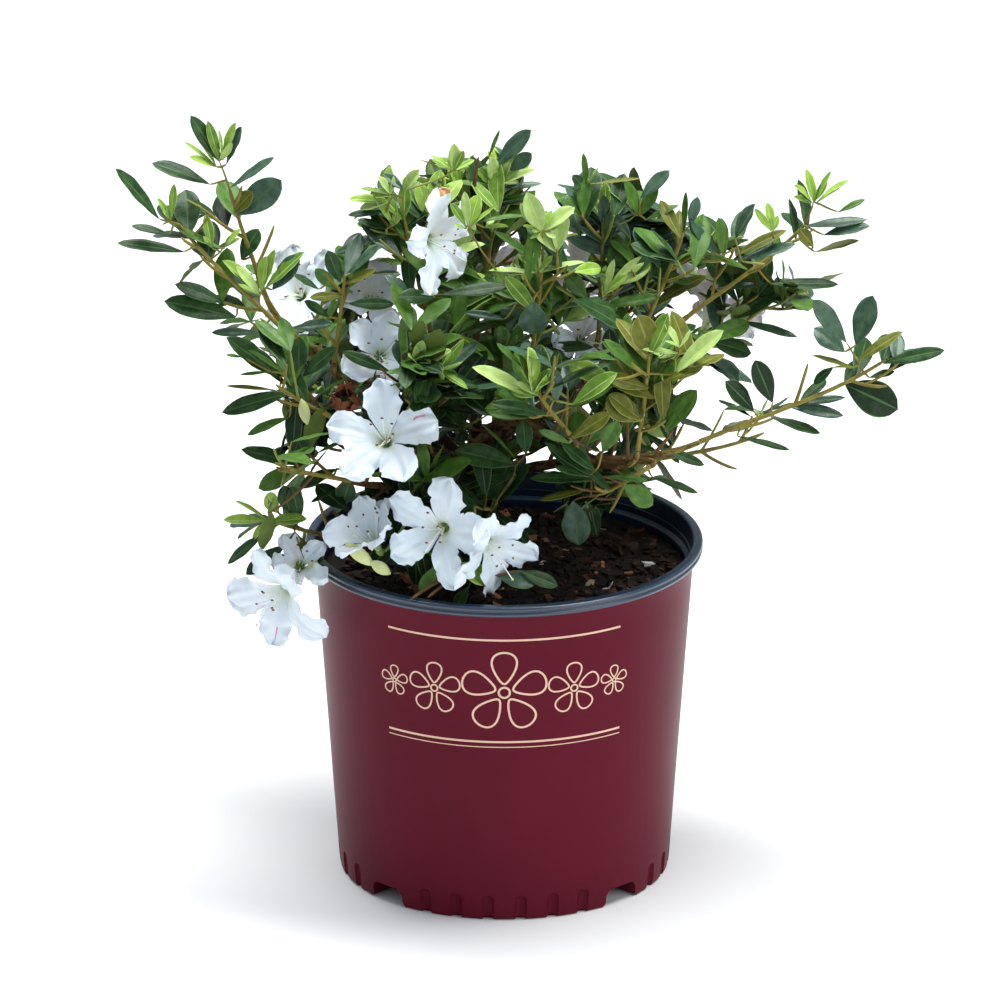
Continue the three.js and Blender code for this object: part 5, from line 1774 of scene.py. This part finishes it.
def make_blooms(shoots):
    sheaf = Sheaf()
    rng = np.random.default_rng(21)
    for number, bloom in enumerate(FLOWERS + SMALL_FLOWERS):
        for lobe in range(LOBES):
            grid = petal_grid(bloom, lobe, rng)
            marks = ((number, lobe) in STREAKED, (number, lobe) in BROWNED, number == WITHERED)
            add_petal(sheaf, grid, petal_looks(rng, *marks))
        base = bloom_base(bloom)
        add_stamens(sheaf, bloom, rng)
        add_blob(sheaf, base - bloom.front * CALYX_BACK, bloom.front, CALYX_SIZE, CALYX, sides=10)
        for k in range(LOBES):
            sepal = leaning(bloom.front, 36 + 360 * k / LOBES, SEPAL_ANGLE)
            add_blob(sheaf, base + sepal * SEPAL_OUT, sepal, SEPAL_SIZE, CALYX, sides=6)
        add_stalk(sheaf, base, bloom.front, shoots[bloom.mass])
    for start, end, radius in BUDS:
        start = in_picture(*start)
        end = in_picture(*end)
        size = (np.linalg.norm(end - start), radius)
        add_blob(sheaf, (start + end) / 2, unit(end - start), size, BUD, sides=10, rings=9)
    keep(sheaf.build("blooms", BLOOM_LOOKS, sharp=80), "foliage")


def add_thread(sheaf, curve, pieces, radii, sides, look):
    """A thin tube along a curve, with its radius at each end."""
    add_tube(sheaf, curve.path(pieces), np.linspace(*radii, pieces + 1), sides, look)


def add_stamens(sheaf, bloom, rng):
    """Stamens with anthers, and a style that droops."""
    start = bloom.centre - bloom.front * (BLOOM_DEPTH - 4)
    for k in range(STAMENS):
        azimuth = 360 / STAMENS * k + rng.uniform(-20, 20)
        out = leaning(bloom.front, azimuth, rng.uniform(*STAMEN_SPREAD))
        end = start + out * rng.uniform(*STAMEN_LENGTHS) + UP * STAMEN_LIFT
        curve = Curve(start, bloom.front, end, unit(out + UP * 0.5))
        add_thread(sheaf, curve, 7, STAMEN_RADII, 5, FILAMENT)
        way = unit(np.cross(out, UP) + 0.2 * out)
        add_blob(sheaf, end, way, ANTHER_SIZE, ANTHER, sides=6, rings=4)
    down = unit(-UP + bloom.front * 0.6)
    end = start + bloom.front * STYLE_LENGTH + down * STYLE_DROOP
    curve = Curve(start, unit(bloom.front - down * 0.2), end, unit(down * 0.4 + bloom.front))
    add_thread(sheaf, curve, 9, STYLE_RADII, 6, FILAMENT)
    add_blob(sheaf, end, bloom.front, STIGMA_SIZE, BUD, rings=4)


def add_stalk(sheaf, base, face, shoots):
    """The stalk joins a bloom to the nearest point of its mass's shoots."""
    roots = np.concatenate([shoot.curve.path(8)[1:] for shoot in shoots])
    start = roots[np.argmin(np.linalg.norm(roots - base, axis=1))]
    curve = Curve(start, unit(base - start + UP * 4), base, face)
    add_thread(sheaf, curve, 8, STALK_ENDS, 7, CALYX)


# Pot

POT_SIDES = 180


def arc(centre, radius, start, end, count):
    turns = np.radians(np.linspace(start, end, count))
    return [(centre[0] + radius * math.cos(t), centre[1] + radius * math.sin(t)) for t in turns]


def pot_profile():
    """Half of the pot's section, from the middle of its underside round to its floor inside."""
    lip_foot = POT_HEIGHT - LIP_HEIGHT
    bead = LIP_HEIGHT / 4
    lower = POT_HEIGHT - LOWER_LEDGE
    upper = POT_HEIGHT - UPPER_LEDGE
    lower_radius = inner_radius(lower) - LINING
    upper_radius = lower_radius + LEDGE_WIDTH
    curl = (BASE_RADIUS - FOOT_CURL, FOOT_CURL)
    inside = RIM_RADIUS - LIP_WIDTH
    return (
        [(0, 0), (60, 0)]
        + arc(curl, FOOT_CURL, -90, -4, 6)
        + [(outer_radius(z), z) for z in np.linspace(8, lip_foot - 1.2, 12)]
        + [(outer_radius(lip_foot) + 0.3, lip_foot - 0.4), (RIM_RADIUS - 1.3, lip_foot)]
        + arc((RIM_RADIUS - bead, lip_foot + bead), bead, -70, 60, 8)
        + arc((RIM_RADIUS - bead, lip_foot + 3 * bead), bead, -60, 90, 9)
        + arc((inside + 1, POT_HEIGHT - 1), 1, 90, 180, 5)
        + [(upper_radius + 0.7, upper + 0.6)]
        + arc((upper_radius - 0.4, upper - 0.4), 0.9, 60, 0, 3)
        + [(upper_radius + 0.4, lower + 3)]
        + arc((lower_radius + 0.9, lower + 0.6), 1.1, 60, 170, 5)
        + [(inner_radius(z) - LINING, z) for z in np.linspace(lower - 2, FLOOR + 2, 8)]
        + [(inner_radius(FLOOR) - LINING - 2, FLOOR), (0, FLOOR)]
    )


def lathe(profile, sides):
    """A profile turned about the Z axis, closed at its two ends on the axis."""
    middle = np.array(profile[1:-1])
    turns = 2 * np.pi * np.arange(sides) / sides
    rings = np.stack([
        np.outer(middle[:, 0], np.cos(turns)),
        np.outer(middle[:, 0], np.sin(turns)),
        np.repeat(middle[:, 1:2], sides, axis=1),
    ], -1).reshape(-1, 3)
    points = np.concatenate([rings, [(0, 0, profile[0][1]), (0, 0, profile[-1][1])]])
    walls, _ = tube_faces(len(middle), sides)
    k = np.arange(sides)
    after = (k + 1) % sides
    foot = np.stack([np.full(sides, len(rings)), after, k], -1)
    last = (len(middle) - 1) * sides
    top = np.stack([np.full(sides, len(rings) + 1), last + k, last + after], -1)
    return points, walls, foot, top


def solid_object(name, parts):
    """A temporary object for boolean work, from points and sets of faces."""
    sheaf = Sheaf()
    for points, faces, *more in parts:
        sheaf.add(points, faces, 0)
        for others in more:
            sheaf.add_more(others)
    return sheaf.build(name, ["pot_red"])


def drain_part(angle, inner, outer, grow):
    """An arched block along a radius of the pot."""
    half = DRAIN_WIDTH / 2 + grow
    height = DRAIN_HEIGHT + grow
    flare = DRAIN_FLARE if grow == 0 else 0
    right = arc((half + flare, flare), flare, 270, 180, 6) if flare else [(half, -6)]
    left = arc((-half - flare, flare), flare, 0, -90, 6) if flare else [(-half, -6)]
    outline = ([(-half - flare, -6), (half + flare, -6)] if flare else []) + right
    outline += arc((half - DRAIN_CORNER, height - DRAIN_CORNER), DRAIN_CORNER, 0, 90, 7)
    outline += arc((DRAIN_CORNER - half, height - DRAIN_CORNER), DRAIN_CORNER, 90, 180, 7)
    outline += left
    along = toward(angle, 0)
    across = np.cross(UP, along)
    points = np.array([along * reach + across * x + UP * z
                       for reach in (inner, outer) for x, z in outline])
    return (points,) + tube_faces(2, len(outline))


def cutter_part(path, radii, sides):
    """A round bar along a path, as points and faces."""
    rings = tube_rings(np.array(path), np.array(radii), sides)
    return (rings.reshape(-1, 3),) + tube_faces(len(rings), sides)


def flute_part(angle):
    """A round-topped groove cutter that leans with the wall."""
    out = toward(angle, 0)
    lean = unit(UP + out * WALL_FLARE)
    rise = FLUTE_HEIGHT - FLUTE_RADIUS
    steps = np.radians(FLUTE_CROWN)
    levels = [-8] + [rise + FLUTE_RADIUS * math.sin(step) for step in steps]
    radii = [FLUTE_RADIUS] + [FLUTE_RADIUS * max(0.05, math.cos(step)) for step in steps]
    axis = out * (BASE_RADIUS + FLUTE_RADIUS - FLUTE_DEPTH)
    return cutter_part([axis + lean * level for level in levels], radii, 20)


def scallop_part(angle):
    """A level round bar under a flute, which lifts the pot's lower edge there."""
    out = toward(angle, 0)
    axis = UP * (SCALLOP_RISE - FLUTE_RADIUS)
    path = [out * (BASE_RADIUS + reach) + axis for reach in SCALLOP_REACH]
    return cutter_part(path, np.full(len(path), FLUTE_RADIUS), 24)


def apply_boolean(target, cutter, operation):
    modifier = target.modifiers.new("cut", "BOOLEAN")
    modifier.operation = operation
    modifier.solver = "MANIFOLD"
    modifier.object = cutter
    bpy.context.view_layer.update()
    done = target.evaluated_get(bpy.context.evaluated_depsgraph_get())
    mesh = bpy.data.meshes.new_from_object(done)
    target.modifiers.remove(modifier)
    target.data = mesh
    bpy.data.objects.remove(cutter)


POT_LOOKS = ["pot_red", "pot_navy", "pot_rim", "pot_ledge_painted_highlight"]
POT_RED, POT_NAVY, POT_RIM, POT_LEDGE_HIGHLIGHT = range(4)


def pot_look(face):
    """Burgundy outside, navy inside, with a blue-black rim, and the tops of the ledges painted a paler
    navy as a highlight.
    """
    x, y, z = face.center / MM
    inward = face.normal.x * x + face.normal.y * y < 0 and z > DRAIN_HEIGHT + WALL + 1
    level = POT_HEIGHT - LOWER_LEDGE - 2 < z < POT_HEIGHT - LIP_HEIGHT
    # Up-facing faces of the ledges take a paler navy: a painted highlight
    if level and face.normal.z > 0.25:
        return POT_LEDGE_HIGHLIGHT
    if inward:
        return POT_NAVY
    return POT_RIM if z > POT_HEIGHT - LIP_HEIGHT - 0.9 else POT_RED


def make_pot():
    pot = solid_object("pot_body", [lathe(pot_profile(), POT_SIDES)])
    angles = [(foot + 0.5) * 360 / FEET for foot in range(FEET)]
    back = BASE_RADIUS - DRAIN_DEPTH
    front = BASE_RADIUS - WALL / 2
    for angle in angles:
        housing = drain_part(angle, back - WALL, front, WALL)
        housing[0][:, 2] = np.maximum(housing[0][:, 2], 0.4)
        apply_boolean(pot, solid_object("housing", [housing]), "UNION")
    for angle in angles:
        drain = drain_part(angle, back, RIM_RADIUS, 0)
        apply_boolean(pot, solid_object("drain", [drain]), "DIFFERENCE")
    places = [foot * 360 / FEET + (i - (FLUTES_PER_FOOT - 1) / 2) * FLUTE_PITCH
              for foot in range(FEET) for i in range(FLUTES_PER_FOOT)]
    for name, make_part in (("flutes", flute_part), ("scallops", scallop_part)):
        cutters = solid_object(name, [make_part(angle) for angle in places])
        apply_boolean(pot, cutters, "DIFFERENCE")
    mesh = pot.data
    mesh.materials.clear()
    for look in POT_LOOKS:
        mesh.materials.append(MATERIALS[look])
    for face in mesh.polygons:
        face.material_index = pot_look(face)
    mesh.shade_smooth()
    mesh.set_sharp_from_angle(angle=math.radians(38))
    keep(pot, "pot", "pot")


# Print on the pot: simple blossoms between thin rules

PRINT_MIDDLE = 176
PRINT_SUNK = -0.05
PRINT_PROUD = 0.12

# Blossoms: how far to the side, radius and width of the line; rules: height over the middle
# and width; and how far the rules reach
BLOSSOMS = [(0, 30, 1.5), (-50, 19, 1.2), (-82, 11, 1.0), (50, 19, 1.2), (82, 11, 1.0)]
RULES = [(40, 1.5), (-38, 1.5), (-42, 0.7)]
RULE_REACH = 87

# A blossom's petal in shares of its radius: its middle, half length, half width, how that
# tapers, and the ring in the centre
PETAL_MIDDLE = 0.62
PETAL_HALF = 0.4
PETAL_WIDTH = 0.36
PETAL_TAPER = (0.75, 0.35)
BLOSSOM_EYE = 0.13


def wall_point(s, z, proud):
    """A point on the front of the wall: s along it, z up, and proud of it by a little."""
    radius = outer_radius(z)
    turn = -math.pi / 2 + s / radius
    return ((radius + proud) * math.cos(turn), (radius + proud) * math.sin(turn), z)


def add_stroke(sheaf, points, width, closed=False):
    """A printed line of even width, as a thin closed ribbon on the wall."""
    points = np.array(points, float)
    if closed:
        ways = np.roll(points, -1, axis=0) - np.roll(points, 1, axis=0)
    else:
        ways = np.gradient(points, axis=0)
    ways /= np.linalg.norm(ways, axis=1)[:, None]
    side = np.stack([-ways[:, 1], ways[:, 0]], 1) * width / 2
    edges = (points - side, points + side, points + side, points - side)
    prouds = (PRINT_SUNK, PRINT_SUNK, PRINT_PROUD, PRINT_PROUD)
    ring = [[wall_point(s, z, proud) for s, z in edge] for edge, proud in zip(edges, prouds)]
    rings = np.array(ring).transpose(1, 0, 2)
    if closed:
        rings = np.concatenate([rings, rings[:1]])
    walls, ends = tube_faces(len(rings), 4)
    sheaf.add(rings, walls[:, ::-1], 0)
    if not closed:
        sheaf.add_more(ends[:, ::-1])


def add_blossom(sheaf, s, z, radius, width):
    """Five rounded petals in outline round a small ring."""
    full, taper = PETAL_TAPER
    for k in range(5):
        turn = math.radians(90 + 72 * k)
        outline = []
        for t in np.linspace(0, 2 * math.pi, 40, endpoint=False):
            along = radius * (PETAL_MIDDLE - PETAL_HALF * math.cos(t))
            across = radius * PETAL_WIDTH * math.sin(t) * (full - taper * math.cos(t))
            outline.append((s + along * math.cos(turn) - across * math.sin(turn),
                            z + along * math.sin(turn) + across * math.cos(turn)))
        add_stroke(sheaf, outline, width, closed=True)
    eye = BLOSSOM_EYE * radius
    ring = [(s + eye * math.cos(t), z + eye * math.sin(t))
            for t in np.linspace(0, 2 * math.pi, 24, endpoint=False)]
    add_stroke(sheaf, ring, width, closed=True)


def make_print():
    sheaf = Sheaf()
    for side, radius, width in BLOSSOMS:
        add_blossom(sheaf, side, PRINT_MIDDLE, radius, width)
    for height, width in RULES:
        rule = [(s, PRINT_MIDDLE + height) for s in np.linspace(-RULE_REACH, RULE_REACH, 90)]
        add_stroke(sheaf, rule, width)
    keep(sheaf.build("pot_print", ["print_cream"], sharp=30), "pot")


# Potting mix

MIX_LOOKS = ["mix_dark", "chip_brown", "chip_red", "chip_orange", "chip_pale", "perlite"]
RED_CHIP, ORANGE_CHIP, PALE_CHIP, PERLITE = range(2, 6)
CHIPS = 1500
CHIP_SHARES = (0.6, 0.26, 0.09, 0.03, 0.012, 0.008)
CHIP_LENGTHS = (3, 10)
CHIP_WIDTH = (0.4, 0.75)
CHIP_THICKNESS = (0.14, 0.35)
CHIP_NOISE = 0.3
CHIP_TILT = 0.3
CHIP_BORDER = 8
TRUNK_ROOM = 19
MIX_RINGS = 90
MIX_SIDES = 220
MIX_FOOT = 12
MIX_SUNK = 1.5
MIX_NOISE = 0.45
MIX_GAP = 0.4


def mix_height(x, y):
    """The uneven surface of the mix."""
    bumps = (1.1 * np.sin(x / 7.3 + 1.2) * np.cos(y / 6.1)
             + 0.9 * np.sin(x / 3.1 - y / 4.7) + 0.7 * np.cos(x / 13 + y / 11 + 2))
    return MIX_TOP - MIX_SUNK + bumps


def make_mix():
    """The bed of the mix: an uneven top, a wall inside the pot's, and a flat foot."""
    reach = inner_radius(MIX_TOP) - LINING - MIX_GAP
    radius = np.linspace(0.5, reach, MIX_RINGS)[:, None]
    turns = 2 * np.pi * np.arange(MIX_SIDES) / MIX_SIDES
    x = radius * np.cos(turns)
    y = radius * np.sin(turns)
    rng = np.random.default_rng(31)
    z = mix_height(x, y) + rng.normal(0, MIX_NOISE, x.shape)
    top = np.stack([x, y, z], -1)[::-1]
    wall = inner_radius(MIX_FOOT) - LINING - MIX_GAP
    foot = np.stack([wall * np.cos(turns), wall * np.sin(turns), np.full(MIX_SIDES, MIX_FOOT)], -1)
    points = np.concatenate([foot[None], top])
    walls, ends = tube_faces(len(points), MIX_SIDES)
    sheaf = Sheaf()
    sheaf.add(points, walls, 0)
    sheaf.add_more(ends)
    keep(sheaf.build("mix_bed", MIX_LOOKS[:1], sharp=80), "potting_mix", "potting_mix")


CHIP_CORNERS = np.array([(x, y, z) for x in (-1, 1) for y in (-1, 1) for z in (-1, 1)], float)
CHIP_FACES = np.array([(0, 1, 3, 2), (4, 6, 7, 5), (0, 4, 5, 1), (2, 3, 7, 6), (0, 2, 6, 4),
                       (1, 5, 7, 3)])

# Chips that catch the eye: place, length and look
BIG_CHIPS = [
    (33, -92, 15, ORANGE_CHIP), (16, -114, 13, ORANGE_CHIP), (80, -60, 13, ORANGE_CHIP),
    (94, -62, 12, RED_CHIP), (96, -46, 9, PALE_CHIP), (-76, -84, 16, ORANGE_CHIP),
    (59, -78, 4, PERLITE), (60, -20, 12, RED_CHIP), (20, 60, 14, ORANGE_CHIP),
    (-60, 70, 12, ORANGE_CHIP), (70, 80, 10, PALE_CHIP), (-90, 10, 12, RED_CHIP),
]


def add_chip(sheaf, x, y, size, look, rng):
    """A flat, uneven block that lies on the mix, turned and a little tilted."""
    shape = size / 2 * np.array([1, rng.uniform(*CHIP_WIDTH), rng.uniform(*CHIP_THICKNESS)])
    uneven = 1 + CHIP_NOISE * rng.normal(size=(8, 3)).clip(-1.2, 1.2)
    turn = rng.uniform(0, 2 * math.pi)
    tilt = rng.normal(0, CHIP_TILT)
    turned = np.array([
        [math.cos(turn), -math.sin(turn), 0],
        [math.sin(turn), math.cos(turn), 0],
        [0, 0, 1],
    ])
    tilted = np.array([
        [math.cos(tilt), 0, math.sin(tilt)],
        [0, 1, 0],
        [-math.sin(tilt), 0, math.cos(tilt)],
    ])
    corners = (CHIP_CORNERS * shape * uneven) @ (turned @ tilted).T
    centre = np.array([x, y, mix_height(x, y) + shape[2] * 0.5])
    sheaf.add(corners + centre, CHIP_FACES, look)


def make_chips():
    sheaf = Sheaf()
    rng = np.random.default_rng(32)
    reach = inner_radius(MIX_TOP) - CHIP_BORDER
    for _ in range(CHIPS):
        radius = reach * math.sqrt(rng.random())
        turn = rng.uniform(0, 2 * math.pi)
        x = radius * math.cos(turn)
        y = radius * math.sin(turn)
        if math.hypot(x - TRUNK_FOOT[0], y - TRUNK_FOOT[1]) < TRUNK_ROOM:
            continue
        look = int(rng.choice(len(MIX_LOOKS), p=CHIP_SHARES))
        add_chip(sheaf, x, y, rng.uniform(*CHIP_LENGTHS), look, rng)
    for x, y, size, look in BIG_CHIPS:
        add_chip(sheaf, x, y, size, look, rng)
    keep(sheaf.build("mix_chips", MIX_LOOKS, sharp=25), "potting_mix")


# Studio

# Lights: name, place, width and height in metres, and power in watts
LIGHTS = [
    ("key", (2.3, -1.9, 1.5), (2.4, 2.0), 31),
    ("top", (0.2, 0.42, 3.2), (4.0, 1.1), 195),
]
LIGHT_AIM = (0, 0, 0.3)
SKY_COLOUR = (0.88, 0.97, 1.05, 1)
SKY_STRENGTH = 0.46


def look_at(thing, target):
    thing.rotation_euler = (Vector(target) - thing.location).to_track_quat("-Z", "Y").to_euler()


def link_new(name, data):
    thing = bpy.data.objects.new(name, data)
    bpy.context.scene.collection.objects.link(thing)
    return thing


def make_studio():
    camera = link_new("camera", bpy.data.cameras.new("camera"))
    aim = np.array(CAMERA_AIM)
    camera.location = (aim + VIEW * CAMERA_REACH) * MM
    look_at(camera, aim * MM)
    camera.data.lens = CAMERA_LENS
    camera.data.clip_end = 100
    bpy.context.scene.camera = camera

    bpy.ops.mesh.primitive_plane_add(size=40)
    floor = bpy.context.object
    floor.name = "floor"
    floor.data.materials.append(MATERIALS["floor"])

    for name, place, size, power in LIGHTS:
        lamp = link_new(name, bpy.data.lights.new(name, "AREA"))
        lamp.location = place
        lamp.data.shape = "RECTANGLE"
        lamp.data.size, lamp.data.size_y = size
        lamp.data.energy = power
        look_at(lamp, LIGHT_AIM)

    world = bpy.data.worlds.new("studio")
    world.use_nodes = True
    sky = world.node_tree.nodes["Background"]
    sky.inputs["Color"].default_value = SKY_COLOUR
    sky.inputs["Strength"].default_value = SKY_STRENGTH
    bpy.context.scene.world = world
    bpy.context.scene.view_settings.view_transform = "Standard"


def grow():
    """All shoots, and the shoots of each mass by its name."""
    by_mass = {mass.name: plan_shoots(mass) for mass in MASSES}
    shoots = [shoot for group in by_mass.values() for shoot in group]
    for group in by_mass.values():
        shoots += grow_fine(group)
    shoots += grow_spurs()
    return shoots, by_mass


for surface_name, first, second, rough, rest in SURFACES:
    add_material(surface_name, first, second, rough, **rest)
make_studio()
make_pot()
make_print()
make_mix()
make_chips()
make_limbs()
all_shoots, mass_shoots = grow()
leaves = Leaves()
petioles = place_leaves(leaves, all_shoots)
for one in all_shoots:
    leaf_shoot(leaves, one)
leaves_with_room = leaf_room(np.array(leaves.rows), np.array(leaves.placed))
make_twigs(leafy_shoots(all_shoots, leaves, leaves_with_room) + petioles)
make_leaves(leaves, leaves_with_room)
make_blooms(mass_shoots)
